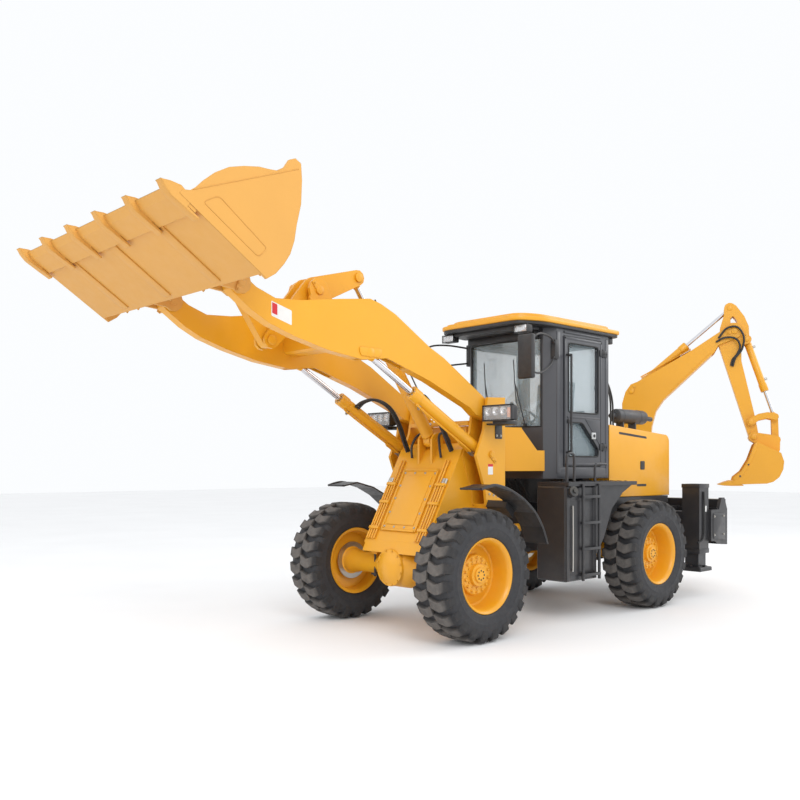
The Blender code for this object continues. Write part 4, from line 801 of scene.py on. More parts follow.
def make_wheel(name, lugs, lug_height):
    low, high = (Vector(c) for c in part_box(f"tyre_{name}"))
    centre = (low + high) / 2
    outward = 1 if name.endswith("left") else -1
    place = Matrix.Translation(centre) @ Matrix.Diagonal((1, outward, 1, 1))
    body = BODY_OF[f"rim_{name}"]
    crown = TYRE_RADIUS - lug_height
    half_profile = [(0.3335, 0.170), (0.340, 0.180), (0.355, 0.187), (0.400, 0.1985), (0.411, 0.2002),
                    (0.414, 0.2018), (0.420, 0.2018), (0.424, 0.2005), (0.460, 0.2015), (0.490, 0.199),
                    (0.520, 0.190), (0.540, 0.170), (crown - 0.004, 0.130), (crown, 0.060), (crown, 0.0)]
    profile = half_profile + [(r, -h) for r, h in half_profile[-2::-1]]
    show(f"tyre carcass {name}", [lathe(profile, (0, 0, 0), (0, 1, 0), 72)], body, "sidewall",
         place, replaces=[f"tyre_{name}"], angle=50)
    pitch = 2 * math.pi / lugs
    tread = [ring(lug(1), lugs), ring(lug(-1), lugs, first=pitch / 2)]
    made = show(f"tyre tread {name}", tread, body, "tread", place, angle=28)
    mark_worn(made, centre, 0.566, 0.582)
    rim = [(0.0, 0.098), (0.060, 0.098), (0.066, 0.094), (0.068, 0.080), (0.095, 0.078), (0.098, 0.072),
           (0.100, 0.046), (0.168, 0.044), (0.178, 0.036), (0.186, 0.004), (0.262, -0.016), (0.280, -0.010),
           (0.288, 0.060), (0.292, 0.134), (0.303, 0.158), (0.316, 0.170), (0.3265, 0.178), (0.3315, 0.176),
           (0.3325, 0.168), (0.320, 0.155), (0.306, 0.140), (0.302, 0.060), (0.302, -0.140), (0.320, -0.160),
           (0.3325, -0.168), (0.3315, -0.177), (0.318, -0.172), (0.300, -0.160), (0.288, -0.130), (0.284, -0.060),
           (0.0, -0.060)]
    show(f"rim {name}", [lathe(rim, (0, 0, 0), (0, 1, 0), 72)], body, "yellow", place,
         replaces=[f"rim_{name}"], angle=32)
    outer = ring(bolt((0, 0.0435, 0.150), (0, 1, 0), 0.0115, 0.017), 14)
    inner = ring(bolt((0, 0.0435, 0.118), (0, 1, 0), 0.008, 0.010), 12)
    cap = ring(bolt((0, 0.0975, 0.040), (0, 1, 0), 0.006, 0.005), 8)
    show(f"hub bolts {name}", [outer, inner], body, "yellow", place)
    stem = tube([(0.258, 0.0, 0.02), (0.266, 0.030, 0.01), (0.272, 0.070, 0.0), (0.276, 0.105, 0.0)], 0.004, sides=8)
    show(f"hub cap bolts and valve {name}", [cap, stem], body, "plastic", place)


class LOADER_OT_wheels(bpy.types.Operator):
    """Make the tyres with their treads, the rims and their bolts"""

    bl_idname = "loader.wheels"
    bl_label = "Wheels"

    def execute(self, context):
        sizes = context.scene.loader_sizes
        for name in WHEELS:
            make_wheel(name, sizes.lugs, sizes.lug_height)
        return {"FINISHED"}


# ---- hydraulic cylinders ----
def cylinder(barrel, rod_node, low, high, y, radius, length, rod_radius, inside, place, eye, slim=0.028):
    """A smooth barrel with its gland, ports and rod, in place of the faceted ones."""

    def at(distance):
        return Vector(on_side(along(low, high, distance), y))

    way = (at(1) - at(0)).normalized()
    across = Vector((0, 1, 0))
    up = way.cross(across)
    if up.z > 0 and abs(up.z) > abs(up.x):
        up = -up
    reach = math.dist(low, high)
    gland = length + 0.02
    steps = [(0.0, 0.0), (radius * 0.72, 0.0), (radius, 0.02), (radius, length - 0.085 - eye * 0.7),
             (radius * 1.13, length - 0.078 - eye * 0.7), (radius * 1.13, gland - 0.006 - eye * 0.7),
             (radius * 1.05, gland - eye * 0.7), (rod_radius + 0.004, gland - eye * 0.7),
             (rod_radius + 0.004, 0.10), (0.0, 0.10)]
    solid = lathe(steps, at(eye * 0.7), way, 40)
    base = at(0)
    knuckle = rod(base - across * slim, base + across * slim, eye, sides=36, bevel=0.004)
    weld = lathe([(radius * 0.55, -0.03), (radius * 0.8, 0.0), (radius * 1.04, 0.012), (radius * 1.04, 0.03),
                  (radius * 0.9, 0.034)], at(eye * 0.7 + 0.01), way, 32)
    body = BODY_OF[barrel]
    show(f"{barrel} skin", [solid, knuckle, weld], body, "yellow", place, replaces=[barrel])
    ports = []
    for distance in (eye + 0.07, length - 0.13):
        foot = at(distance) + up * radius * 0.9
        ports.append(rod(foot, foot + up * 0.028, 0.017, sides=20, bevel=0.002))
        ports.append(rod(foot + up * 0.026, foot + up * 0.040, 0.0135, sides=6))
    bolts = []
    for k in range(8):
        turn = Matrix.Rotation(math.pi / 4 * k, 3, way)
        seat = at(gland) + turn @ (up * (rod_radius + radius) * 0.55)
        bolts.append(rod(seat - way * 0.002, seat + way * 0.007, 0.006, sides=6))
    show(f"{barrel} fittings", ports + bolts, body, "steel", place)
    start, end = at(inside), at(reach - eye * 0.75)
    head = at(reach)
    show(f"{rod_node} skin", [rod(start, end, rod_radius, sides=36)], BODY_OF[rod_node], "chrome", place,
         replaces=[rod_node])
    neck = rod(at(reach - eye * 1.45), at(reach - eye * 0.5), rod_radius * 1.02, rod_radius * 1.5, sides=28)
    show(f"{rod_node} eye", [rod(head - across * slim * 0.94, head + across * slim * 0.94, eye * 0.9, sides=36,
                                 bevel=0.004), neck], BODY_OF[rod_node], "yellow", place)


def pin_cap(at, side, radius=0.034, thick=0.012, keeper=True, down=(0, -1)):
    """The end of a hinge pin on a plate: round head and a flag with its bolt."""
    x, y, z = at
    shapes = [rod((x, y, z), (x, y + side * thick, z), radius, sides=32, bevel=0.003)]
    if keeper:
        dx, dz = down
        low, high = sorted((y + side * 0.001, y + side * 0.008))
        across_x, across_z = -dz, dx
        flag = [(x + across_x * radius * 0.9, z + across_z * radius * 0.9),
                (x + dx * radius * 2.6 + across_x * 0.016, z + dz * radius * 2.6 + across_z * 0.016),
                (x + dx * radius * 2.6 - across_x * 0.016, z + dz * radius * 2.6 - across_z * 0.016),
                (x - across_x * radius * 0.9, z - across_z * radius * 0.9)]
        shapes.append(plate(flag, low, high, 0.001))
        seat = (x + dx * radius * 2.0, y + side * 0.008, z + dz * radius * 2.0)
        shapes.append(bolt(seat, (0, side, 0), 0.009, 0.008))
    return joined(shapes)


def stickers(label, name, side, face, outline, head, body):
    """A blank white sticker on a side face, with a red field at its head."""
    show(f"{label} {name}", [side_plate(outline, side, face + 0.0002, face + 0.0010, 0)], body, "white")
    show(f"{label} head {name}", [side_plate(head, side, face + 0.0012, face + 0.0018, 0)], body, "red")


class LOADER_OT_cylinders(bpy.types.Operator):
    """Make the smooth hydraulic cylinders, their fittings and hoses"""

    bl_idname = "loader.cylinders"
    bl_label = "Cylinders"

    def execute(self, context):
        for name, side in SIDES:
            cylinder(f"lift_barrel_{name}", f"lift_rod_{name}", pin(f"lift_barrel_turn_{name}"), LIFT_EYE,
                     side * ARM_Y, 0.055, 1.08, 0.028, 0.62, MACHINE, 0.058)
        cylinder("tilt_barrel", "tilt_rod", pin("tilt_barrel_turn"), ROCKER_TOP, 0, 0.062, 1.12, 0.030, 0.66,
                 MACHINE, 0.063, 0.044)
        cylinder("boom_barrel", "boom_rod", BOOM_BARREL_FOOT, BOOM_ROD_EYE, 0, 0.055, 0.66, 0.024, 0.12, HOE, 0.053,
                 0.045)
        cylinder("stick_barrel", "stick_rod", STICK_BARREL_FOOT, STICK_ROD_EYE, 0, 0.052, 0.92, 0.024, 0.62, HOE,
                 0.050, 0.034)
        cylinder("bucket_barrel", "bucket_rod", BUCKET_BARREL_FOOT, BUCKET_ROD_EYE, 0, 0.045, 0.70, 0.024, 0.36, HOE,
                 0.046, 0.031)
        for name, side in SIDES:
            self.steering(name, side)
        self.hoses(context.scene.loader_sizes.hose)
        return {"FINISHED"}

    def steering(self, name, side):
        start, end = Vector((-0.52, side * 0.22, 0.90)), Vector((0.50, side * 0.30, 0.90))
        way = (end - start).normalized()
        up = Vector((0, 0, 0.029))
        length = 0.62
        shell = lathe([(0.0, 0.03), (0.030, 0.03), (0.039, 0.045), (0.039, length - 0.07), (0.044, length - 0.065),
                       (0.044, length - 0.004), (0.040, length), (0.026, length), (0.026, 0.07), (0.0, 0.07)],
                      start, way, 36)
        barrel, piston = f"steer_barrel_{name}", f"steer_rod_{name}"
        show(f"{barrel} skin", [shell, rod(start - up, start + up, 0.042, sides=32, bevel=0.003)], BODY_OF[barrel],
             "yellow", replaces=[barrel])
        show(f"{piston} skin",
             [rod(start + way * 0.34, end - way * 0.03, 0.022, sides=32),
              rod(end - up, end + up, 0.040, sides=32, bevel=0.003)],
             BODY_OF[piston], "chrome", replaces=[piston])

    def hoses(self, radius):
        front = BODY_OF["front_frame"]
        for name, side in SIDES:
            body = BODY_OF[f"lift_barrel_{name}"]
            pipes, nuts = [], []
            for shift, far in ((-0.016, 0.36), (0.016, 0.98)):

                def under(distance, drop):
                    """A point below the cylinder's axis, at a distance from its foot."""
                    x, z = along(LIFT_FOOT, LIFT_EYE, distance)
                    return Vector((x + 0.49 * drop, side * ARM_Y + shift, z - 0.87 * drop))

                pipes.append(tube([under(0.16, 0.075), under(0.3, 0.072), under(far - 0.03, 0.072),
                                   under(far, 0.050)], 0.0085))
                nuts.append(rod(under(0.13, 0.078), under(0.185, 0.074), 0.0135, sides=6))
            show(f"lift pipes {name}", pipes, body, "yellow")
            show(f"lift pipe nuts {name}", nuts, body, "steel")
            for index in range(2):
                aside = 0.034 * index
                route = [(1.09, 0.30, 1.68), (1.15, 0.295, 1.79), (1.235, 0.285, 1.95), (1.36, 0.285, 2.11),
                         (1.50, 0.33, 2.185), (1.60, 0.39, 2.165), (1.655, 0.44, 2.115 - 0.5 * aside)]
                hose = tube([(x - aside, side * y, z) for x, y, z in route], radius)
                show(f"lift hose {name} {index + 1}", [hose], None, "rubber",
                     blend=(front, body, (1.15, side * 0.30, 1.79), (1.58, side * 0.38, 2.17)))
        short = [tube([(1.12, side * 0.20, 1.62), (1.13, side * 0.19, 1.74), (1.09, side * 0.15, 1.84),
                       (1.00, side * 0.14, 1.86), (0.95, side * 0.16, 1.78)], radius * 0.9) for side in BOTH]
        show("front centre hoses", short, front, "rubber")


# ---- loader ----
class LOADER_OT_loader(bpy.types.Operator):
    """Make the fine pieces of the loader arms, linkage and bucket"""

    bl_idname = "loader.loader"
    bl_label = "Loader"

    def execute(self, context):
        self.arms()
        self.bucket()
        return {"FINISHED"}

    def arms(self):
        front, arm, bucket = BODY_OF["front_frame"], BODY_OF["loader_arm"], BODY_OF["loader_bucket"]
        tip = pin("bucket_tilt")
        for name, side in SIDES:
            caps = [pin_cap(on_side(pin("loader_lift"), side * TOWER_FACE), side, 0.042, 0.016, down=(-0.2, -0.98)),
                    pin_cap(on_side(LIFT_FOOT, side * TOWER_FACE), side, 0.036, 0.014, down=(-0.6, -0.8))]
            show(f"tower pins {name}", caps, front, "yellow")
            # doubler rings and the lift rod's pin on the arm
            outer = side * ARM_FACE
            way = (0, side, 0)
            rings = [
                lathe([(0.040, 0.0), (0.086, 0.0), (0.086, 0.006), (0.083, 0.009), (0.043, 0.009), (0.040, 0.006)],
                      on_side(tip, outer), way, 40),
                lathe([(0.0, 0.0), (0.040, 0.0), (0.040, 0.008), (0.034, 0.012), (0.0, 0.012)],
                      on_side(LIFT_EYE, outer), way, 36),
                lathe([(0.044, 0.0), (0.094, 0.0), (0.094, 0.005), (0.091, 0.008), (0.047, 0.008), (0.044, 0.005)],
                      on_side(ARM_ROOT, outer), way, 40),
            ]
            strap = rounded([(2.22, 2.455), (2.44, 2.455), (2.46, 2.53), (2.20, 2.53)], 0.03)
            rings.append(side_plate(strap, side, ARM_FACE, ARM_FACE + 0.008, 0.002))
            show(f"arm pin bosses {name}", rings, arm, "yellow")
            show(f"bucket pin heads {name}",
                 [pin_cap(on_side(tip, side * 0.585), side, 0.036, 0.013, down=(0.5, -0.86))], bucket, "pale")
            sticker = rounded([(3.14, 2.628), (3.33, 2.682), (3.33, 2.795), (3.14, 2.741)], 0.008)
            head = rounded([(3.275, 2.690), (3.323, 2.703), (3.323, 2.785), (3.275, 2.772)], 0.006)
            stickers("arm sticker", name, side, ARM_FACE, sticker, head, arm)
        rocker_caps = [pin_cap(on_side(ROCKER_MID, side * 0.155), side, 0.040, 0.014, down=(0.7, 0.7))
                       for side in BOTH]
        show("rocker pin heads", rocker_caps, arm, "yellow")
        for label, place in (("upper", ROCKER_TOP), ("lower", ROCKER_LOW)):
            caps = [rod(on_side(place, side * 0.080), on_side(place, side * 0.098), 0.042, sides=32, bevel=0.004)
                    for side in BOTH]
            show(f"rocker {label} bosses", caps, BODY_OF["rocker"], "yellow")
        self.gauge()

    def gauge(self):
        """The bucket's level gauge: a square rod beside the tilt cylinder with its guides."""
        body = BODY_OF["tilt_barrel"]
        way = (Vector(on_side(ROCKER_TOP, 0)) - Vector(on_side(TILT_FOOT, 0))).normalized()
        foot = Vector(on_side(TILT_FOOT, 0.085)) + way * 0.30 + Vector((-0.05, 0, 0.035))
        guides = [block(tuple(foot + way * d - Vector((0.012, 0.026, 0.012))),
                        tuple(foot + way * d + Vector((0.012, 0.012, 0.012))), 0.002) for d in (0.06, 0.42, 0.74)]
        show("tilt gauge rod", [rod(foot, foot + way * 1.20, 0.009, sides=4)], body, "iron")
        show("tilt gauge guides", guides, body, "yellow")

    def bucket(self):
        body = BODY_OF["loader_bucket"]
        teeth, bolts, wear = [], [], []
        for index in range(6):
            y = 1.164 * (2 * index / 5 - 1)
            shank = [(1.028, -0.2145), (0.975, -0.178), (0.905, -0.146), (0.815, -0.158), (0.70, -0.172),
                     (0.70, -0.184), (0.81, -0.184), (0.92, -0.196), (0.92, -0.215), (0.80, -0.224), (0.70, -0.226),
                     (0.70, -0.240), (0.80, -0.247), (0.925, -0.252), (0.985, -0.238)]
            teeth.append(plate(shank, y - 0.0335, y + 0.0335, 0.004))
            for x in (0.745, 0.80):
                bolts.append(bolt((x, y, -0.1745), (0, 0, 1), 0.011, 0.010))
        for y in (-0.70, 0.0, 0.70):
            wear.append(block((0.20, y - 0.05, -0.212), (0.74, y + 0.05, -0.1995), 0.003))
        for side in BOTH:
            face = 1.2005 if side > 0 else -1.1965
            wear.append(tube([(0.835, face, -0.115), (0.335, face, 0.605)], 0.0034, False, 8))
            patch = rounded([(0.74, -0.125), (0.24, -0.125), (0.22, -0.03), (0.68, -0.01)], 0.03)
            wear.append(tube([(x, face, z) for x, z in (*patch, patch[0])], 0.0028, False, 6))
            bolts.append(bolt((0.80, side * 1.175, -0.10), (0, -side, 0), 0.012, 0.010))
        show("bucket tooth shanks", teeth, body, "pale", BUCKET)
        show("bucket bolts", bolts, body, "iron", BUCKET)
        show("bucket floor strips", wear, body, "pale", BUCKET)
        ribs = [plate([(0.075, -0.10), (0.112, -0.10), (0.112, 0.20), (0.090, 0.18)], y - 0.008, y + 0.008, 0.002)
                for y in (-1.0, -0.80, -0.25, 0.25, 0.80, 1.0)]
        lip = tube([(0.350, -1.17, 0.652), (0.350, 1.17, 0.652)], 0.014, smooth=False, sides=16)
        show("bucket ribs and rim", [*ribs, lip], body, "pale", BUCKET)


# ---- front chassis ----
class LOADER_OT_front(bpy.types.Operator):
    """Make the fine pieces of the front chassis: lamps, front cover, axle clamps and fenders"""

    bl_idname = "loader.front"
    bl_label = "Front Chassis"

    def execute(self, context):
        self.cover()
        self.axles()
        for name, side in SIDES:
            self.lamp(name, side)
            self.fender(name, side)
            self.tower(name, side)
        return {"FINISHED"}

    def cover(self):
        """The bolted cover and pipes on the sloping front, drawn flat and then leaned on it."""
        body = BODY_OF["front_frame"]
        # local X stands off the slope, Y runs across it and Z up it
        up = Vector((-0.50, 0, 0.90)).normalized()
        out = Vector((0.90, 0, 0.50)).normalized()
        lean = Matrix(((out.x, 0, up.x, 1.56), (0, 1, 0, 0), (out.z, 0, up.z, 0.80), (0, 0, 0, 1)))
        panel = [block((0.0, -0.235, 0.14), (0.012, 0.235, 0.80), 0.003),
                 block((0.010, -0.185, 0.20), (0.022, 0.185, 0.73), 0.008, 3),
                 block((0.012, -0.235, 0.135), (0.020, 0.235, 0.155), 0.002),
                 block((0.012, -0.235, 0.785), (0.020, 0.235, 0.805), 0.002)]
        panel += [side_block(side, (0.012, 0.220, 0.135), (0.020, 0.240, 0.805), 0.002) for side in BOTH]
        spots = [(y, z) for y in (-0.205, 0.205) for z in (0.18, 0.33, 0.48, 0.62, 0.76)]
        spots += [(y, z) for y in (-0.07, 0.07) for z in (0.178, 0.762)]
        bolts = [bolt((0.012, y, z), (1, 0, 0), 0.009, 0.007) for y, z in spots]
        pipes, clips, nuts = [], [], []
        for side in BOTH:
            for y, top in ((0.285, 0.90), (0.32, 0.90), (0.355, 0.66), (0.385, 0.66)):
                pipes.append(tube([(0.016, side * y, 0.04), (0.016, side * y, top)], 0.0095, False))
            for y in (0.355, 0.385):
                nuts.append(rod((0.016, side * y, 0.62), (0.016, side * y, 0.70), 0.015, sides=6))
            for z in (0.14, 0.42, 0.62):
                clips.append(side_block(side, (0.0, 0.27, z), (0.032, 0.40, z + 0.03)))
        for name, shapes, finish in (("front cover", panel, "yellow"), ("front cover bolts", bolts, "steel"),
                                     ("front pipes", pipes, "yellow"), ("front pipe clips", clips, "yellow"),
                                     ("front pipe nuts", nuts, "steel")):
            show(name, [moved(shape, lean) for shape in shapes], body, finish)
        # cross bar between the towers and the box behind it
        bars = [block((0.90, -0.40, 1.93), (0.96, 0.40, 1.975), 0.006),
                block((0.72, -0.33, 1.76), (0.90, 0.33, 1.93), 0.02, 3)]
        for side in BOTH:
            near, far = span(side, 0.30, 0.40)
            bars.append(rod(on_side(ARM_ROOT, near), on_side(ARM_ROOT, far), 0.05, sides=32, bevel=0.005))
        show("tower cross bar", bars, body, "yellow")

    def axles(self):
        for node, direction in (("front_axle", 1), ("rear_axle", -1)):
            self.axle(node, direction * AXLE_X, direction)

    def axle(self, node, x, direction):
        """The smooth housing with its cover, the clamps under it, and a brake at each end."""
        body, middle, end = BODY_OF[node], (x, 0, AXLE_HEIGHT), 0.8025
        half = [(0.0, end), (0.170, end), (0.172, end - 0.02), (0.150, end - 0.032), (0.122, end - 0.045),
                (0.118, end - 0.12), (0.100, end - 0.155), (0.098, 0.30), (0.112, 0.26), (0.150, 0.21),
                (0.182, 0.165), (0.198, 0.12), (0.1995, 0.06)]
        housing = lathe([*half, *[(r, -y) for r, y in reversed(half)]], middle, (0, 1, 0), 56)
        cover = lathe([(0.0, 0.235), (0.05, 0.233), (0.10, 0.222), (0.14, 0.205), (0.15, 0.198), (0.172, 0.196),
                       (0.176, 0.185), (0.176, 0.12), (0.0, 0.12)], middle, (direction, 0, 0), 56)
        show(f"{node} housing", [housing, cover], body, "yellow", replaces=[node])
        bolts = []
        for k in range(12):
            turn = math.pi / 6 * (k + 0.5)
            seat = (x + direction * 0.196, 0.162 * math.cos(turn), AXLE_HEIGHT + 0.162 * math.sin(turn))
            bolts.append(bolt(seat, (direction, 0, 0), 0.009, 0.008))
        show(f"{node} cover bolts", bolts, body, "yellow")
        clamps = []
        for side in BOTH:
            for shift in (-0.085, 0.085):
                y = side * 0.32
                clamps.append(tube([(x + shift, y, z) for z in (0.80, AXLE_HEIGHT, 0.49)], 0.011, False))
                clamps.append(bolt((x + shift, y, 0.484), (0, 0, -1), 0.016, 0.016))
            clamps.append(side_block(side, (x - 0.11, 0.285, 0.484), (x + 0.11, 0.355, 0.502), 0.004))
            disc = lathe([(0.05, 0.0), (0.185, 0.0), (0.187, 0.003), (0.187, 0.011), (0.185, 0.014), (0.05, 0.014)],
                         (x, side * 0.765, AXLE_HEIGHT), (0, side, 0), 56)
            show(f"{node} brake disc {side + 1}", [disc], body, "steel")
            caliper = side_block(side, (x - 0.20, 0.735, 0.55), (x - 0.13, 0.800, 0.66), 0.008)
            show(f"{node} brake caliper {side + 1}", [caliper], body, "iron")
        show(f"{node} clamps", clamps, body, "black")

    def lamp(self, name, side):
        """A head lamp: housing, chrome bowls behind a clear lens, and its indicator."""
        body = BODY_OF[f"headlamp_{name}"]
        low_y, high_y = span(side, 0.635, 0.985)
        rim = 0.012
        case = [block((0.905, low_y + 0.006, 1.960), (0.990, high_y - 0.006, 2.100), 0.030, 4),
                *bezel((0.975, low_y, 1.955), (1.018, high_y, 2.105), rim, 0.014, 0.003),
                side_block(side, (0.72, 0.606, 1.925), (0.92, 0.80, 1.940), 0.002),
                side_block(side, (0.80, 0.72, 1.925), (0.97, 0.88, 1.962), 0.004)]
        show(f"head lamp housing {name}", case, body, "plastic", replaces=[f"headlamp_{name}"])
        bowls = [block((0.984, low_y + rim, 1.969), (0.988, high_y - rim, 2.091), 0.001)]
        for y in (side * 0.70, side * 0.79, side * 0.88):
            bowls.append(lathe([(0.004, 0.0), (0.018, 0.003), (0.030, 0.012), (0.035, 0.024), (0.037, 0.024),
                                (0.037, -0.004), (0.004, -0.006)], (0.986, y, 2.045), (1, 0, 0), 32))
            bowls.append(rod((0.986, y, 2.045), (1.000, y, 2.045), 0.008, 0.005, sides=16))
        show(f"head lamp bowls {name}", bowls, body, "mirror")
        lens = block((1.009, low_y + rim, 1.969), (1.0125, high_y - rim, 2.091), 0.001)
        show(f"head lamp lens {name}", [lens], body, "lens")
        indicator = side_block(side, (0.990, 0.925, 1.985), (1.006, 0.965, 2.075), 0.006)
        show(f"head lamp indicator {name}", [indicator], body, "amber")

    def fender(self, name, side):
        body = BODY_OF[f"fender_{name}"]
        top = [(1.50, 1.345), (1.41, 1.368), (1.318, 1.378), (1.21, 1.360), (1.098, 1.325), (0.92, 1.24), (0.76, 1.12),
               (0.65, 0.98), (0.575, 0.82)]
        edge = tube([(x, side * 1.052, z - 0.004) for x, z in top], 0.0115, sides=12, steps=4)
        lip = tube([(1.502, side * 0.81, 1.341), (1.502, side * 1.045, 1.341)], 0.010, False)
        foot = tube([(0.575, side * 0.81, 0.822), (0.575, side * 1.045, 0.822)], 0.008, False)
        show(f"fender rolled edge {name}", [edge, lip, foot], body, "plastic")
        bolts = [bolt((x, side * y, z), (-0.35, 0, 1), 0.011, 0.008)
                 for x, y, z in ((0.96, 0.85, 1.262), (0.96, 0.93, 1.262), (1.10, 0.85, 1.326), (1.10, 0.93, 1.326))]
        show(f"fender bolts {name}", bolts, body, "steel")

    def tower(self, name, side):
        body = BODY_OF["front_frame"]
        outer = side * TOWER_FACE
        strip = rounded([(0.70, 1.80), (0.80, 1.80), (0.80, 2.02), (0.70, 2.02)], 0.012)
        show(f"lamp bracket {name}", [side_plate(strip, side, TOWER_FACE, TOWER_FACE + 0.006, 0.001)], body, "black")
        bolts = [bolt((x, outer + side * 0.006, z), (0, side, 0), 0.009, 0.007)
                 for x, z in ((0.72, 1.83), (0.78, 1.83), (0.72, 1.99), (0.78, 1.99))]
        bolts += [bolt((0.70 + 0.06 * i, outer, 1.24 + 0.012 * i), (0, side, 0), 0.010, 0.008) for i in range(4)]
        show(f"tower bolts {name}", bolts, body, "steel")
        outline = rounded([(0.83, 1.46), (0.90, 1.46), (0.90, 1.56), (0.83, 1.56)], 0.005)
        head = rounded([(0.83, 1.535), (0.90, 1.535), (0.90, 1.56), (0.83, 1.56)], 0.004)
        stickers("tower sticker", name, side, TOWER_FACE, outline, head, body)


# ---- cab ----
class LOADER_OT_cab(bpy.types.Operator):
    """Make the fine pieces of the cab: seals, lamps, mirrors, door fittings and controls"""

    bl_idname = "loader.cab"
    bl_label = "Cab"

    def execute(self, context):
        self.windows()
        self.roof()
        self.door()
        self.mirrors()
        self.inside()
        return {"FINISHED"}

    def windows(self):
        body = BODY_OF["cab_frame"]
        slope = 0.06 / 0.50

        def front(y):
            """How far forward the bowed front glass stands at y."""
            return -0.08 + 0.06 + 0.002 - slope * abs(y)

        def outline(low, high):
            """The corners of an upright opening from two corners of it, back to its first."""
            (a, b), (c, d) = low, high
            return ((a, b), (c, b), (c, d), (a, d), (a, b))

        loop = [(front(y), y, z) for y, z in ((-0.478, 1.952), (0, 1.952), (0.478, 1.952), (0.478, 2.858), (0, 2.858),
                                              (-0.478, 2.858), (-0.478, 1.952))]
        seals = [tube(loop, 0.010, False, sides=8),
                 tube([(-1.121, y, z) for y, z in outline((-0.498, 2.052), (0.498, 2.858))], 0.009, False, sides=8),
                 tube([(x, -0.601, z) for x, z in outline((-1.018, 2.002), (-0.222, 2.858))], 0.009, False, sides=8)]
        show("window seals", seals, body, "seal")
        wipers = []
        for y, tip in ((0.30, 0.02), (-0.12, -0.40)):
            foot = Vector((front(y) + 0.018, y, 1.975))
            end = Vector((front((y + tip) / 2) + 0.022, (y + tip) / 2 + 0.02, 2.42))
            wipers += [tube([foot, end], 0.006, False, sides=8),
                       rod(foot - Vector((0.014, 0, 0)), foot + Vector((0.012, 0, 0)), 0.018),
                       tube([end + Vector((0.0, 0.02, -0.22)), end, end + Vector((-0.004, -0.02, 0.24))], 0.0055,
                            False, sides=6)]
        show("wipers", wipers, body, "plastic")
        # rounded pillar skins and the dark sill under the doorway
        trims = [block((-1.115, 0.575, 1.415), (-0.185, 0.6045, 1.520), 0.010),
                 block((-0.965, 0.602, 2.925), (-0.30, 0.612, 2.945), 0.003)]
        for x in (-1.085, -0.205):
            trims.append(block((x - 0.028, 0.590, 1.46), (x + 0.028, 0.6055, 2.93), 0.008, 3))
        show("pillar skins", trims, body, "cab")

    def roof(self):
        body = BODY_OF["cab_roof"]
        plan = rounded([(-1.31, -0.655), (-1.31, 0.655), (0.10, 0.655), (0.375, 0.53), (0.375, -0.53), (0.10, -0.655)],
                       0.10, 6)
        slab = flat(plan, 2.996, 3.040, 0.012)
        under = flat([(x * 0.985 - 0.006, y * 0.975) for x, y in plan], 2.9655, 2.9965, 0.004)
        crown_plan = rounded([(-1.235, -0.57), (-1.235, 0.57), (0.05, 0.57), (0.29, 0.45), (0.29, -0.45),
                              (0.05, -0.57)], 0.12, 6)
        crown = flat(crown_plan, 3.02, 3.0895, 0.022)
        rib = flat(rounded([(-0.95, -0.30), (-0.95, 0.30), (-0.10, 0.30), (-0.10, -0.30)], 0.08), 3.08, 3.0898, 0.004)
        visor = flat(rounded([(0.08, -0.50), (0.08, 0.50), (0.372, 0.45), (0.372, -0.45)], 0.05), 3.028, 3.052, 0.010)
        show("roof skin", [slab, crown, rib, visor], body, "yellow", replaces=["cab_roof"])
        show("roof underside", [under], body, "plastic")
        band = [block((-0.06, -0.46, 2.862), (0.012, 0.46, 2.93), 0.006)]
        cut = flat(rounded([(-0.02, -0.52), (-0.02, 0.52), (0.28, 0.48), (0.28, -0.48)], 0.05), 2.930, 2.9652, 0.006)
        show("roof fascia", [cut, *band], BODY_OF["cab_frame"], "plastic")
        knob = [lathe([(0.0, 0.0), (0.022, 0.0), (0.024, 0.012), (0.016, 0.030), (0.0, 0.034)], (-1.14, -0.42, 3.052),
                      (0, 0, 1), 24)]
        show("roof knob", knob, body, "yellow")
        for name, side in SIDES:
            self.work_lamp(name, 0.251, side * 0.50, 2.921)
        rear = [block((-1.24, side * 0.52 - 0.06, 2.895), (-1.165, side * 0.52 + 0.06, 2.966), 0.010, 3)
                for side in BOTH]
        show("rear work lamps", rear, BODY_OF["cab_frame"], "plastic")

    def work_lamp(self, name, x, y, z):
        """A work lamp under the roof's front edge: case, two bowls and a clear lens."""
        body = BODY_OF["cab_frame"]
        case = [block((x - 0.055, y - 0.085, z - 0.043), (x + 0.030, y + 0.085, z + 0.040), 0.012, 3),
                *bezel((x + 0.02, y - 0.085, z - 0.043), (x + 0.040, y + 0.085, z + 0.040), 0.009, 0.010, 0.002),
                block((x - 0.02, y - 0.02, z + 0.035), (x + 0.01, y + 0.02, 2.966), 0.002)]
        show(f"work lamp case {name}", case, body, "plastic")
        bowls = [block((x + 0.029, y - 0.076, z - 0.033), (x + 0.033, y + 0.076, z + 0.030), 0.001)]
        bowls += [rod((x + 0.031, y + shift, z), (x + 0.036, y + shift, z), 0.028, 0.022, sides=24)
                  for shift in (0.036, -0.036)]
        show(f"work lamp bowl {name}", bowls, body, "mirror")
        lens = block((x + 0.0365, y - 0.076, z - 0.033), (x + 0.0385, y + 0.076, z + 0.030), 0.0005)
        show(f"work lamp lens {name}", [lens], body, "lens")

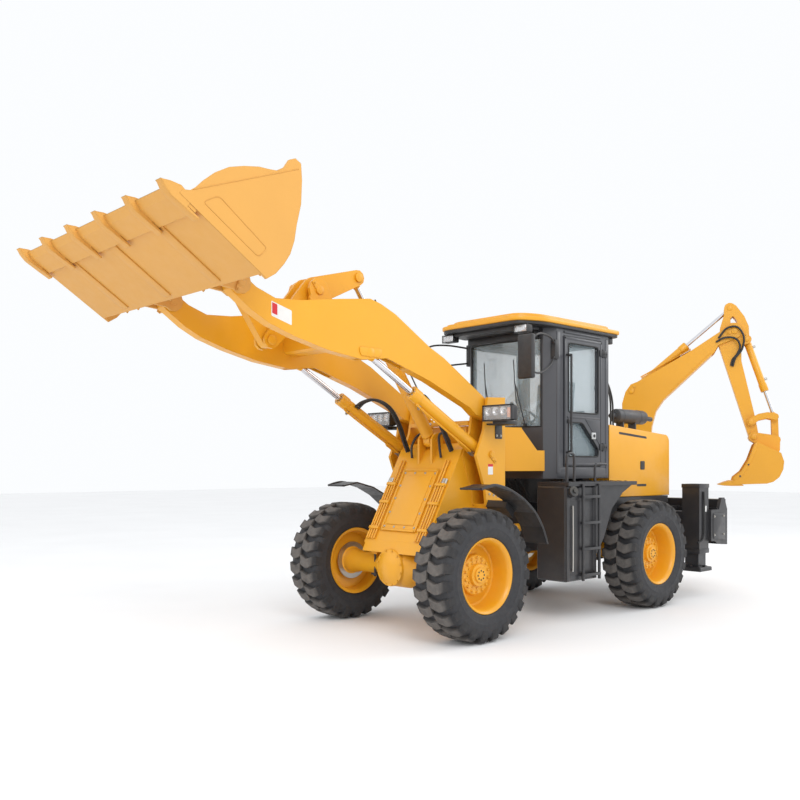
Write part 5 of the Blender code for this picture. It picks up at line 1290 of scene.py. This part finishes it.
    def door(self):
        body = BODY_OF["cab_door"]
        seals = []
        upper = rounded([(-0.905, 2.102), (-0.365, 2.102), (-0.365, 2.825), (-0.905, 2.825)], 0.04)
        lower = rounded([(-0.905, 1.642), (-0.365, 1.642), (-0.365, 1.998), (-0.615, 1.998), (-0.905, 1.722)], 0.035)
        for outline in (upper, lower):
            seals.append(tube([(x, DOOR_FACE, z) for x, z in (*outline, outline[0])], 0.008, False, sides=8))
        show("door seals", seals, body, "seal")
        skin = [block((-0.968, 0.608, 2.862), (-0.302, 0.616, 2.886), 0.004),
                block((-0.968, 0.608, 1.548), (-0.302, 0.616, 1.572), 0.004),
                block((-0.968, 0.608, 1.548), (-0.950, 0.616, 2.886), 0.004),
                block((-0.320, 0.608, 1.548), (-0.302, 0.616, 2.886), 0.004),
                block((-0.93, 0.608, 2.040), (-0.34, 0.618, 2.062), 0.005),
                plate(rounded([(-0.935, 1.76), (-0.935, 2.04), (-0.66, 2.04)], 0.02), 0.608, 0.617, 0.004)]
        show("door skin", skin, body, "cab")
        grab = tube([(-0.335, 0.612, 1.68), (-0.335, 0.665, 1.70), (-0.335, 0.670, 1.76), (-0.335, 0.670, 2.62),
                     (-0.335, 0.665, 2.68), (-0.335, 0.612, 2.70)], 0.012)
        show("door grab bar", [grab], body, "plastic")
        latch = [block((-0.845, DOOR_FACE, 1.83), (-0.775, 0.626, 1.90), 0.004)]
        show("door latch plate", latch, body, "silver")
        button = [rod((-0.81, 0.624, 1.865), (-0.81, 0.632, 1.865), 0.018, sides=24, bevel=0.002)]
        show("door latch button", button, body, "plastic")
        studs = [rod((x, 0.604, z), (x, 0.609, z), 0.011, sides=20)
                 for x, z in ((-0.87, 2.14), (-0.87, 2.79), (-0.42, 2.79), (-0.42, 2.14))]
        handle = [block((-0.40, 0.610, 1.985), (-0.345, 0.628, 2.030), 0.005)]
        hinges = []
        for z in (1.70, 2.72):
            hinges += [rod((-0.986, 0.616, z), (-0.986, 0.616, z + 0.09), 0.012, sides=20, bevel=0.002),
                       block((-0.985, 0.6125, z + 0.01), (-0.925, 0.622, z + 0.08), 0.002)]
        show("door studs and hinges", [*studs, *handle, *hinges], body, "plastic")
        leaves = []
        for z in (1.70, 2.72):
            leaves += [block((-1.075, 0.6055, z + 0.01), (-1.0, 0.618, z + 0.08), 0.002)]
            leaves += [bolt((x, 0.618, z + 0.045), (0, 1, 0), 0.008, 0.005) for x in (-1.055, -1.02)]
        show("door hinge leaves", leaves, BODY_OF["cab_frame"], "plastic")

    def mirrors(self):
        body = BODY_OF["cab_frame"]
        case = [block((0.585, 0.745, 2.37), (0.64, 0.925, 2.79), 0.026, 4),
                block((0.555, 0.77, 2.40), (0.60, 0.90, 2.76), 0.020, 3)]
        arms = [tube([(-0.17, 0.58, 2.80), (0.10, 0.72, 2.83), (0.40, 0.82, 2.82), (0.58, 0.835, 2.72)], 0.010),
                tube([(-0.17, 0.58, 2.68), (0.10, 0.72, 2.54), (0.40, 0.82, 2.44), (0.58, 0.835, 2.46)], 0.010),
                block((-0.20, 0.555, 2.64), (-0.13, 0.615, 2.84), 0.008)]
        right = [block((0.36, -0.86, 2.55), (0.40, -0.71, 2.80), 0.018, 4)]
        arms += [tube([(-0.17, -0.58, 2.86), (0.08, -0.72, 2.89), (0.28, -0.79, 2.86), (0.37, -0.79, 2.74)], 0.010),
                 tube([(-0.17, -0.58, 2.70), (0.08, -0.70, 2.66), (0.28, -0.78, 2.60), (0.37, -0.79, 2.62)], 0.010),
                 block((-0.20, -0.615, 2.66), (-0.13, -0.555, 2.90), 0.008)]
        show("mirror cases and arms", [*case, *right, *arms], body, "plastic")
        faces = [block((0.5515, 0.785, 2.42), (0.556, 0.885, 2.74), 0.001),
                 block((0.357, -0.845, 2.57), (0.361, -0.725, 2.78), 0.001)]
        show("mirror faces", faces, body, "mirror")

    def inside(self):
        self.steering_wheel()
        self.levers()
        self.seat(CAB_FLOOR)

    def steering_wheel(self):
        """The steering wheel on its column, and the console under it."""
        floor = CAB_FLOOR
        hub = Vector((-0.33, 0, floor + 0.62))
        tilt = Vector((0.5, 0, -1)).normalized()
        turn = (-tilt).to_track_quat("Z", "Y").to_matrix().to_4x4()

        def spot(angle, radius, height):
            return hub + turn @ Vector((radius * math.cos(angle), radius * math.sin(angle), height))

        shapes = [tube([spot(2 * math.pi * k / 32, 0.165, 0.012) for k in range(33)], 0.013, False),
                  rod(hub - tilt * 0.015, hub + tilt * 0.03, 0.035, sides=28, bevel=0.004),
                  rod(hub, hub + tilt * 0.26, 0.022, sides=24)]
        shapes += [rod(hub, spot(2 * math.pi * k / 3 + 0.5, 0.16, 0.01), 0.008) for k in range(3)]
        knob = hub + turn @ Vector((0.02, 0.162, 0.02))
        shapes.append(rod(knob, knob - tilt * 0.05, 0.018, 0.022, sides=24, bevel=0.004))
        shapes.append(plate(rounded([(-0.13, floor), (-0.13, floor + 0.46), (-0.20, floor + 0.56),
                                     (-0.27, floor + 0.50), (-0.25, floor)], 0.02), -0.20, 0.20, 0.010))
        show("steering console skin", shapes, BODY_OF["cab_frame"], "plastic", replaces=["steering_console"])

    def levers(self):
        """Two levers at the driver's right and three behind at the left, each row on its console."""
        floor = CAB_FLOOR
        shapes = []
        for y in (-0.34, -0.30):
            foot = Vector((-0.45, y, floor + 0.30))
            shapes += [rod(foot, foot + Vector((0.10, 0, 0.30)), 0.008),
                       rod(foot + Vector((0.095, 0, 0.28)), foot + Vector((0.125, 0, 0.36)), 0.018, 0.022,
                           sides=24, bevel=0.004)]
        for y in (0.30, 0.34, 0.38):
            foot = Vector((-0.90, y, floor + 0.35))
            shapes += [rod(foot, foot + Vector((-0.05, 0, 0.28)), 0.007),
                       rod(foot + Vector((-0.048, 0, 0.27)), foot + Vector((-0.058, 0, 0.33)), 0.016, 0.019,
                           sides=24, bevel=0.003)]
        shapes += [block((-0.62, -0.42, floor), (-0.36, -0.27, floor + 0.34), 0.02, 3),
                   block((-0.98, 0.26, floor), (-0.78, 0.44, floor + 0.38), 0.02, 3)]
        show("levers and consoles", shapes, BODY_OF["cab_frame"], "plastic")

    def seat(self, floor):
        """The seat's base, and its two cushions as crowned forms with seams."""
        body = BODY_OF["driver_seat"]
        base = [block((-0.92, -0.16, floor), (-0.58, 0.16, floor + 0.28), 0.02, 3),
                block((-0.97, -0.23, floor + 0.275), (-0.50, 0.23, floor + 0.32), 0.015, 3)]
        show("seat base", base, body, "plastic", replaces=["driver_seat"])

        def crowned(length, width, thick, crown):
            work = bmesh.new()
            bmesh.ops.create_grid(work, x_segments=24, y_segments=24, size=0.5)
            for vertex in work.verts:
                u, v = vertex.co.x * 2, vertex.co.y * 2
                fall = (1 - abs(u) ** 5) * (1 - abs(v) ** 5)
                seam = 1 - 0.30 * math.exp(-((abs(v) - 0.62) / 0.05) ** 2) * (1 - abs(u) ** 4)
                vertex.co = (vertex.co.x * length, vertex.co.y * width, thick * 0.5 + crown * fall * seam)
            grown = bmesh.ops.extrude_face_region(work, geom=work.faces[:])
            bottom = [v for v in grown["geom"] if isinstance(v, bmesh.types.BMVert)]
            for vertex in bottom:
                vertex.co.z = -thick * 0.5
            bmesh.ops.recalc_face_normals(work, faces=work.faces)
            return from_bmesh(work)

        cushion = moved(crowned(0.48, 0.49, 0.09, 0.035), Matrix.Translation((-0.73, 0, floor + 0.365)))
        lean = Matrix.Translation((-0.945, 0, floor + 0.70)) @ Matrix.Rotation(math.radians(84), 4, "Y")
        back = moved(crowned(0.62, 0.47, 0.07, 0.03), lean)
        for name, mesh in (("seat cushion", cushion), ("seat back", back)):
            obj = show(name, [mesh], body, "vinyl", angle=60)


# ---- rear chassis ----
class LOADER_OT_rear(bpy.types.Operator):
    """Make the fine pieces of the hood, muffler, tanks, rails and stabilisers"""

    bl_idname = "loader.rear"
    bl_label = "Rear Chassis"

    def execute(self, context):
        self.hood()
        self.muffler()
        self.tanks()
        self.rails()
        self.stabilisers()
        self.cowl()
        return {"FINISHED"}

    def hood(self):
        body = BODY_OF["engine_hood"]
        outline = [(-1.141, 1.195), (-1.141, 1.985), (-1.160, 1.9985), *arc((-2.33, 1.83), 0.088, 84, 180, 8),
                   (-2.4195, 1.70), (-2.4195, 1.195)]
        sides = [side_plate(outline, side, 0.575, 0.5995, 0.008) for side in BOTH]
        for (x1, z1), (x2, z2) in zip(outline, outline[1:]):
            way = Vector((x2 - x1, z2 - z1)).normalized()
            inward = Vector((way.y, -way.x)) * 0.02
            if inward.dot(Vector((-1.8, 1.5)) - Vector((x1, z1))) < 0:
                inward = -inward
            sides.append(plate([(x1, z1), (x2, z2), (x2 + inward.x, z2 + inward.y), (x1 + inward.x, z1 + inward.y)],
                               -0.594, 0.594, 0))
        show("hood skin", sides, body, "yellow", replaces=["engine_hood"], angle=30)
        slot = rounded([(-1.33, 1.925), (-1.90, 1.884), (-1.91, 1.858), (-1.33, 1.899)], 0.012)
        low_slot = rounded([(-1.70, 1.335), (-1.90, 1.335), (-1.90, 1.307), (-1.70, 1.307)], 0.012)
        latch = rounded([(-1.77, 1.50), (-1.86, 1.50), (-1.86, 1.60), (-1.77, 1.60)], 0.018)
        trims = [row(block((-2.4255, -0.42, 1.30), (-2.4185, 0.42, 1.318), 0.002), 13, (0, 0, 0), (0, 0, 0.036))]
        for side in BOTH:
            trims += [side_plate(slot, side, 0.594, 0.6002, 0), side_plate(low_slot, side, 0.594, 0.6002, 0),
                      side_plate(latch, side, 0.598, 0.606, 0.003)]
        show("hood slots and latches", trims, body, "plastic")
        show("hood catch plate", [block((-1.28, 0.46, 1.982), (-1.16, 0.56, 1.998), 0.003)], body, "black")
        bolts = [bolt((x, y, 1.998), (0, 0, 1), 0.008, 0.007) for x in (-1.26, -1.18) for y in (0.475, 0.545)]
        show("hood catch bolts", bolts, body, "steel")

    def muffler(self):
        body = BODY_OF["muffler"]
        y, z, radius = 0.30, 2.13, 0.085
        can = [lathe([(0.0, 0.0), (0.060, 0.004), (0.080, 0.016), (radius, 0.035), (radius, 0.585), (0.080, 0.605),
                      (0.060, 0.620), (0.034, 0.640), (0.030, 0.66), (0.0, 0.66)], (-1.70, y, z), (-1, 0, 0), 48)]
        can += [lathe([(radius - 0.004, 0.0), (radius + 0.002, 0.0), (radius + 0.002, 0.022), (radius - 0.004, 0.022)],
                      (x, y, z), (-1, 0, 0), 48) for x in (-1.80, -2.16)]
        can.append(lathe([(0.022, 0.0), (0.028, 0.0), (0.028, 0.17), (0.022, 0.17)], (-2.33, y, z - 0.004),
                         (-1, 0, -0.05), 28))
        can.append(rod((-1.72, y, z), (-1.62, y, z), 0.030, sides=28, bevel=0.003))
        for x in (-1.82, -2.08):
            foot = 1.978 if x > -2.0 else 1.955
            can.append(block((x - 0.012, y - 0.05, foot - 0.03), (x + 0.012, y + 0.05, z - 0.06), 0.003))
        show("muffler skin", can, body, "muffler", replaces=["muffler"])

    def tanks(self):
        for node, side in (("fuel_tank", 1), ("hydraulic_tank", -1)):
            body = BODY_OF[node]
            panels = [side_block(side, (-0.36, 0.925, 0.46), (0.08, 0.934, 1.20), 0.004)]
            panels += [side_block(side, (x, 0.92, 0.405), (x + 0.05, 0.938, 1.335)) for x in (-0.392, 0.064)]
            show(f"{node} panels", panels, body, "black")
            studs = [row(rod((0, 0, 0), (0, 0, 0.006), 0.016, 0.012, sides=6), 12, (-1.08, side * y, 1.3795),
                         (0.095, 0, 0)) for y in (0.66, 0.75, 0.84)]
            show(f"{node} step studs", studs, body, "black")
        body = BODY_OF["fuel_tank"]
        rails = [tube([(0.06, 0.90, 1.375), (0.06, 0.90, 1.60), (0.04, 0.90, 1.66), (-0.04, 0.90, 1.66),
                       (-0.06, 0.90, 1.60), (-0.06, 0.90, 1.375)], 0.013),
                 tube([(-0.42, 0.90, 1.375), (-0.42, 0.90, 1.52), (-0.45, 0.90, 1.56), (-0.62, 0.90, 1.56)], 0.013)]
        for x in (-0.12, -0.40):
            rails.append(rod((x, 0.965, 0.40), (x, 0.965, 1.362), 0.0155, sides=20, bevel=0.002))
        for z in (0.44, 0.70, 0.96, 1.22):
            rails.append(block((-0.405, 0.948, z - 0.001), (-0.115, 0.982, z + 0.027), 0.004))
        show("hand rails and ladder", rails, body, "black")
        cap = [lathe([(0.0, 0.0), (0.050, 0.0), (0.052, 0.008), (0.052, 0.022), (0.044, 0.030), (0.0, 0.032)],
                     (0.065, 0.975, 1.289), (0.24, 0.95, 0.28), 32),
               rod((0.072, 1.002, 1.297), (0.077, 1.018, 1.302), 0.026, 0.024, sides=6)]
        show("fuel filler cap", cap, body, "iron")
        level = [tube([(0.03, 0.942, 0.52), (0.03, 0.950, 0.55), (0.03, 0.950, 1.10), (0.03, 0.942, 1.13)], 0.008)]
        show("level tube", level, body, "steel")

    def rails(self):
        body = BODY_OF["rear_frame"]
        end = rounded([(-2.68, 0.68), (-2.68, 0.98), (-2.98, 0.98), (-2.98, 0.64)], 0.03)
        shapes = [side_plate(end, side, 1.02, 1.026, 0.002) for side in BOTH]
        shapes += [block((-2.868, -0.96, z), (-2.858, 0.96, z + 0.03), 0.003) for z in (0.80, 0.90)]
        show("rail end plates", shapes, body, "black")
        faces = [block((-3.0405, -0.98, 1.125), (-2.905, 0.98, 1.1425), 0.003),
                 block((-3.0405, -0.98, 0.598), (-2.905, 0.98, 0.604), 0.002)]
        show("rail wear faces", faces, body, "steel")
        bolts = [bolt((x, side * 1.026, z), (0, side, 0), 0.011, 0.008)
                 for side in BOTH for x in (-2.71, -2.94) for z in (0.72, 0.94)]
        show("rail bolts", bolts, body, "steel")
        hoses = []
        for index in range(4):
            y = -0.18 + 0.05 * index
            hoses.append(tube([(-2.45, y, 1.16), (-2.58, y, 1.24), (-2.72, y - 0.05, 1.22), (-2.80, y - 0.08, 1.08),
                               (-2.84, y - 0.10, 0.98)], 0.0135))
        show("rear frame hoses", hoses, body, "rubber")
        cab_hoses = [tube([(-0.30 - 0.02 * k, 0.16 - 0.08 * k, 1.16), (-0.22, 0.15 - 0.08 * k, 1.30),
                           (-0.16, 0.14 - 0.08 * k, 1.40)], 0.0125) for k in range(4)]
        show("cab hoses", cab_hoses, body, "rubber")
        joint = [lathe([(0.0, 0.0), (0.055, 0.0), (0.058, 0.006), (0.050, 0.016), (0.0, 0.018)], (0, 0, 1.168),
                       (0, 0, 1), 32)]
        joint += [bolt((0.04 * math.cos(k * math.pi / 3), 0.04 * math.sin(k * math.pi / 3), 1.182), (0, 0, 1), 0.006,
                       0.006) for k in range(6)]
        show("pivot cap", joint, body, "black")

    def stabilisers(self):
        for name, side in SIDES:
            self.stabiliser(name, side, -2.54, side * 0.87)

    def stabiliser(self, name, side, x, y):
        """The collars and hose on a stabiliser's housing, and the ribs on its foot."""
        body, half, out = BODY_OF["rear_frame"], 0.11, 0.006
        low_x, high_x, low_y, high_y = x - half, x + half, y - half, y + half
        collar = []
        for z, tall in ((0.512, 0.05), (1.285, 0.045)):
            for low, high in (((low_x - out, low_y - out, z), (low_x + 0.001, high_y + out, z + tall)),
                              ((high_x - 0.001, low_y - out, z), (high_x + out, high_y + out, z + tall)),
                              ((low_x, low_y - out, z), (high_x, low_y + 0.001, z + tall)),
                              ((low_x, high_y - 0.001, z), (high_x, high_y + out, z + tall))):
                collar.append(block(low, high, 0.002))
        collar += [lathe([(0.012, 0.0), (0.022, 0.0), (0.022, 0.003), (0.012, 0.003)], (low_x, y, z), (-1, 0, 0), 24)
                   for z in (0.62, 1.22)]
        show(f"stabiliser collars {name}", collar, body, "black")
        route = ((0.02, 0.118, 1.24), (0.02, 0.124, 1.10), (0.02, 0.124, 0.78), (0.05, 0.122, 0.68),
                 (0.13, 0.10, 0.64))
        hose = tube([(x + dx, y + side * dy, z) for dx, dy, z in route], 0.011)
        show(f"stabiliser hose {name}", [hose], body, "rubber")
        low, high = sorted((y + side * 0.1102, y + side * 0.1110))
        outline = [(x - 0.06, 1.00), (x - 0.02, 1.00), (x - 0.02, 1.07), (x - 0.06, 1.07)]
        show(f"stabiliser sticker {name}", [plate(outline, low, high, 0)], body, "white")
        foot = [block((x - 0.139, y - 0.139, 0.301), (x + 0.139, y + 0.139, 0.318), 0.006),
                block((x - 0.10, y - 0.10, 0.345), (x + 0.10, y + 0.10, 0.36), 0.006)]
        foot += [block((x + dx - 0.018, y + dy - 0.018, 0.345), (x + dx + 0.018, y + dy + 0.018, 0.372), 0.006)
                 for dx, dy in ((0.115, 0), (-0.115, 0), (0, 0.115), (0, -0.115))]
        show(f"stabiliser foot {name}", foot, BODY_OF[f"stabilizer_leg_{name}"], "black")

    def cowl(self):
        body = BODY_OF["cab_cowl"]
        trims = [tube([(0.4215, -0.36, 1.60), (0.4215, 0.36, 1.60)], 0.004, False, 8)]
        trims += [side_block(side, (0.395, 0.26, 1.66), (0.424, 0.37, 1.86), 0.010, 3) for side in BOTH]
        show("cowl pressings", trims, body, "yellow")
        grille = row(block((0.419, -0.20, 1.52), (0.4235, 0.20, 1.526), 0.001), 10, (0, 0, 0), (0, 0, 0.018))
        show("cowl grille", [grille], body, "plastic")


# ---- hoe ----
class LOADER_OT_hoe(bpy.types.Operator):
    """Make the fine pieces of the folded hoe: pins, hoses, teeth and plates"""

    bl_idname = "loader.hoe"
    bl_label = "Hoe"

    def execute(self, context):
        self.pins()
        self.hoses(context.scene.loader_sizes.hose)
        self.bucket()
        return {"FINISHED"}

    def pins(self):
        boom, stick, post = BODY_OF["hoe_boom"], BODY_OF["hoe_stick"], BODY_OF["swing_post"]
        show("post pin heads",
             [pin_cap(on_side(BOOM_FOOT, s * 0.158), s, 0.042, 0.014, down=(-0.9, 0.4)) for s in BOTH]
             + [pin_cap(on_side(BOOM_BARREL_FOOT, s * 0.158), s, 0.034, 0.013, down=(0.2, -0.98)) for s in BOTH],
             post, "yellow", HOE)
        show("boom pin heads",
             [pin_cap(on_side(STICK_BARREL_FOOT, s * 0.120), s, 0.033, 0.016, down=(0.5, 0.86)) for s in BOTH]
             + [pin_cap(on_side(STICK_PIVOT, s * 0.120), s, 0.042, 0.017, down=(-0.95, -0.3)) for s in BOTH]
             + [lathe([(0.045, 0.0), (0.098, 0.0), (0.098, 0.003), (0.096, 0.004), (0.047, 0.004), (0.045, 0.003)],
                      on_side(BOOM_FOOT, s * 0.120), (0, s, 0), 40) for s in BOTH],
             boom, "yellow", HOE)
        show("stick pin heads",
             [pin_cap(on_side(BUCKET_BARREL_FOOT, s * 0.090), s, 0.030, 0.016, down=(-0.2, 0.98)) for s in BOTH]
             + [pin_cap(on_side(STICK_ROD_EYE, s * 0.090), s, 0.034, 0.005, keeper=False) for s in BOTH]
             + [rod(on_side(LEVER_PIVOT, s * 0.152), on_side(LEVER_PIVOT, s * 0.166), 0.034, sides=32, bevel=0.004)
                for s in BOTH],
             stick, "yellow", HOE)
        weld = []
        for s in BOTH:
            for start, end in (((0.13, 1.86), (0.10, 2.16)), ((0.66, 2.53), (1.20, 3.05))):
                weld.append(tube([on_side(start, s * 0.1205), on_side(end, s * 0.1205)], 0.003, False, 8))
        show("boom weld lines", weld, boom, "yellow", HOE)
        carriage = BODY_OF["hoe_carriage"]
        shapes = []
        for dy in (-0.21, 0.21):
            for z in (0.60, 1.14):
                shapes.append(bolt((-3.096, -0.72 + dy, z), (-1, 0, 0), 0.016, 0.014))
        show("carriage bolts", shapes, carriage, "steel")

    def hoses(self, radius):
        post, boom, stick = BODY_OF["swing_post"], BODY_OF["hoe_boom"], BODY_OF["hoe_stick"]
        for index in range(4):
            y = -0.052 + 0.035 * index
            loop = [(0.175, y, 1.10), (0.26, y, 1.02), (0.40, y * 1.1, 1.10), (0.465, y * 1.1, 1.35),
                    (0.455, y, 1.58), (0.43, y, 1.78)]
            show(f"boom foot hose {index + 1}", [tube(loop, radius)], None, "rubber", HOE,
                 blend=(post, boom, (0.36, 0, 1.08), (0.45, 0, 1.60)))
        loops = ([(1.30, -0.127, 3.24), (1.40, -0.152, 3.36), (1.53, -0.160, 3.37), (1.61, -0.158, 3.24),
                  (1.59, -0.145, 3.08), (1.51, -0.122, 2.97), (1.475, -0.101, 2.86)],
                 [(1.27, -0.127, 3.19), (1.38, -0.150, 3.24), (1.51, -0.158, 3.22), (1.565, -0.150, 3.12),
                  (1.53, -0.130, 3.02), (1.475, -0.110, 2.95), (1.455, -0.101, 2.87)])
        for index, loop in enumerate(loops):
            show(f"stick hose {index + 1}", [tube(loop, radius)], None, "rubber", HOE,
                 blend=(boom, stick, (1.40, -0.15, 3.30), (1.53, -0.12, 3.00)))
        cab = BODY_OF["cab_frame"]
        arcs = [tube([(-1.125, 0.44 - 0.03 * k, 2.36 + 0.04 * k), (-1.22, 0.44, 2.47 + 0.04 * k),
                      (-1.36, 0.42, 2.46 + 0.04 * k), (-1.46 - 0.04 * k, 0.40, 2.30), (-1.47 - 0.05 * k, 0.40, 1.99)],
                     radius * 0.8) for k in range(2)]
        show("hoses behind the cab", arcs, cab, "rubber")
        pipes = [tube([(0.30 + 0.02 * k, s * 0.085, 2.76 + 0.012 * k), (0.62, s * 0.085, 2.935),
                       (0.95, s * 0.085, 3.115)], 0.008, False) for k in range(2) for s in BOTH]
        show("boom pipes", pipes, boom, "yellow", HOE)

    def bucket(self):
        body = BODY_OF["hoe_bucket"]
        teeth, bolts, plates = [], [], []
        for index in range(4):
            y = 0.27 * (2 * index / 3 - 1)
            shank = [(1.287, 1.2965), (1.36, 1.327), (1.43, 1.350), (1.52, 1.352), (1.60, 1.340), (1.60, 1.322),
                     (1.50, 1.318), (1.49, 1.300), (1.60, 1.297), (1.60, 1.284), (1.45, 1.282), (1.36, 1.286)]
            teeth.append(plate(shank, y - 0.0275, y + 0.0275, 0.003))
            bolts.append(bolt((1.55, y, 1.352), (0, 0, 1), 0.009, 0.008))
        for side in BOTH:
            cutter = [(1.475, 1.345), (1.49, 1.402), (1.575, 1.470), (1.663, 1.625), (1.730, 1.820), (1.762, 1.845),
                      (1.775, 1.80), (1.70, 1.61), (1.61, 1.44), (1.53, 1.375)]
            plates.append(side_plate(cutter, side, 0.300, 0.3055, 0.002))
            bolts += [bolt((x, side * 0.3055, z), (0, side, 0), 0.009, 0.007) for x, z in ((1.56, 1.41), (1.66, 1.56))]
        show("hoe bucket teeth and side cutters", [*teeth, *plates], body, "yellow", HOE)
        show("hoe bucket bolts", bolts, body, "iron", HOE)
        caps = [rod(on_side(HOE_BUCKET_PIVOT, s * 0.122), on_side(HOE_BUCKET_PIVOT, s * 0.140), 0.038, sides=32,
                    bevel=0.004) for s in BOTH]
        show("hoe bucket pin heads", caps, body, "yellow", HOE)


# ---- studio ----
# Name, place in metres, power in watts and width of each soft light.
STUDIO_LIGHTS = (
    ("key_light", (6.5, 9.5, 9.5), 620, 6),
    ("fill_light", (10.5, -3.0, 6.0), 160, 7),
    ("back_light", (-9.0, 5.0, 7.5), 260, 6),
)
LIGHTS_AIM = Vector((0, 0, 1.4))
CAMERA_PLACE = Vector((7.159, 6.040, 1.537))     # in the machine's frame
CAMERA_TURN = math.radians(136.93)
CAMERA_LENS = 39.3                               # mm on a 36 mm wide sensor


class LOADER_OT_studio(bpy.types.Operator):
    """Make the pale floor, the soft lights and the camera"""

    bl_idname = "loader.studio"
    bl_label = "Studio"

    def execute(self, context):
        scene = context.scene
        floor_finish, tree, shader = material("studio_floor")
        shade = mixed(tree, ranged(tree, noise(tree, 0.6, 3), 0.3, 0.7, 0.0, 1.0), (0.93, 0.93, 0.935, 1),
                      (0.90, 0.90, 0.905, 1))
        tree.links.new(shade, shader.inputs["Base Color"])
        shader.inputs["Roughness"].default_value = 0.75
        work = bmesh.new()
        bmesh.ops.create_grid(work, x_segments=1, y_segments=1, size=45)
        mesh = from_bmesh(work, "studio_floor")
        mesh.materials.append(floor_finish)
        floor = bpy.data.objects.new("studio_floor", mesh)
        scene.collection.objects.link(floor)
        for name, spot, power, size in STUDIO_LIGHTS:
            data = bpy.data.lights.new(name, "AREA")
            data.energy, data.size = power, size
            lamp = bpy.data.objects.new(name, data)
            lamp.location = spot
            lamp.rotation_euler = (LIGHTS_AIM - Vector(spot)).to_track_quat("-Z", "Y").to_euler()
            scene.collection.objects.link(lamp)
        camera_data = bpy.data.cameras.new("front_quarter_camera")
        camera_data.lens, camera_data.sensor_width = CAMERA_LENS, 36
        camera_data.shift_x, camera_data.shift_y = 0.004, 0.083
        camera = bpy.data.objects.new("front_quarter_camera", camera_data)
        camera.location = ORIGIN + CAMERA_PLACE
        camera.rotation_euler = (math.radians(90), 0, CAMERA_TURN)
        scene.collection.objects.link(camera)
        scene.camera = camera
        world = bpy.data.worlds.new("studio sky")
        world.use_nodes = True
        world.node_tree.nodes["Background"].inputs["Color"].default_value = (0.97, 0.985, 1.0, 1)
        world.node_tree.nodes["Background"].inputs["Strength"].default_value = 1.0
        scene.world = world
        scene.view_settings.view_transform = "Standard"
        return {"FINISHED"}


class LOADER_PT_panel(bpy.types.Panel):
    """Sidebar panel with every group of pieces"""

    bl_idname = "LOADER_PT_panel"
    bl_label = "Backhoe Loader"
    bl_space_type = "VIEW_3D"
    bl_region_type = "UI"
    bl_category = "Loader"

    def draw(self, context):
        colours, sizes = context.scene.loader_colours, context.scene.loader_sizes
        for name in ("paint", "bucket", "cab", "black"):
            self.layout.prop(colours, name)
        for name in ("lugs", "lug_height", "hose"):
            self.layout.prop(sizes, name)
        for operator in OPERATORS:
            self.layout.operator(operator.bl_idname)


OPERATORS = (LOADER_OT_finishes, LOADER_OT_wheels, LOADER_OT_cylinders, LOADER_OT_loader, LOADER_OT_front,
             LOADER_OT_cab, LOADER_OT_rear, LOADER_OT_hoe, LOADER_OT_studio)
CLASSES = (LoaderColours, LoaderSizes, *OPERATORS, LOADER_PT_panel)


def register():
    for kind in CLASSES:
        bpy.utils.register_class(kind)
    bpy.types.Scene.loader_colours = bpy.props.PointerProperty(type=LoaderColours)
    bpy.types.Scene.loader_sizes = bpy.props.PointerProperty(type=LoaderSizes)


def unregister():
    del bpy.types.Scene.loader_sizes
    del bpy.types.Scene.loader_colours
    for kind in reversed(CLASSES):
        bpy.utils.unregister_class(kind)


def main():
    register()
    bpy.ops.loader.finishes()
    bpy.ops.loader.wheels()
    bpy.ops.loader.cylinders()
    bpy.ops.loader.loader()
    bpy.ops.loader.front()
    bpy.ops.loader.cab()
    bpy.ops.loader.rear()
    bpy.ops.loader.hoe()
    bpy.ops.loader.studio()


if __name__ == "__main__":
    main()
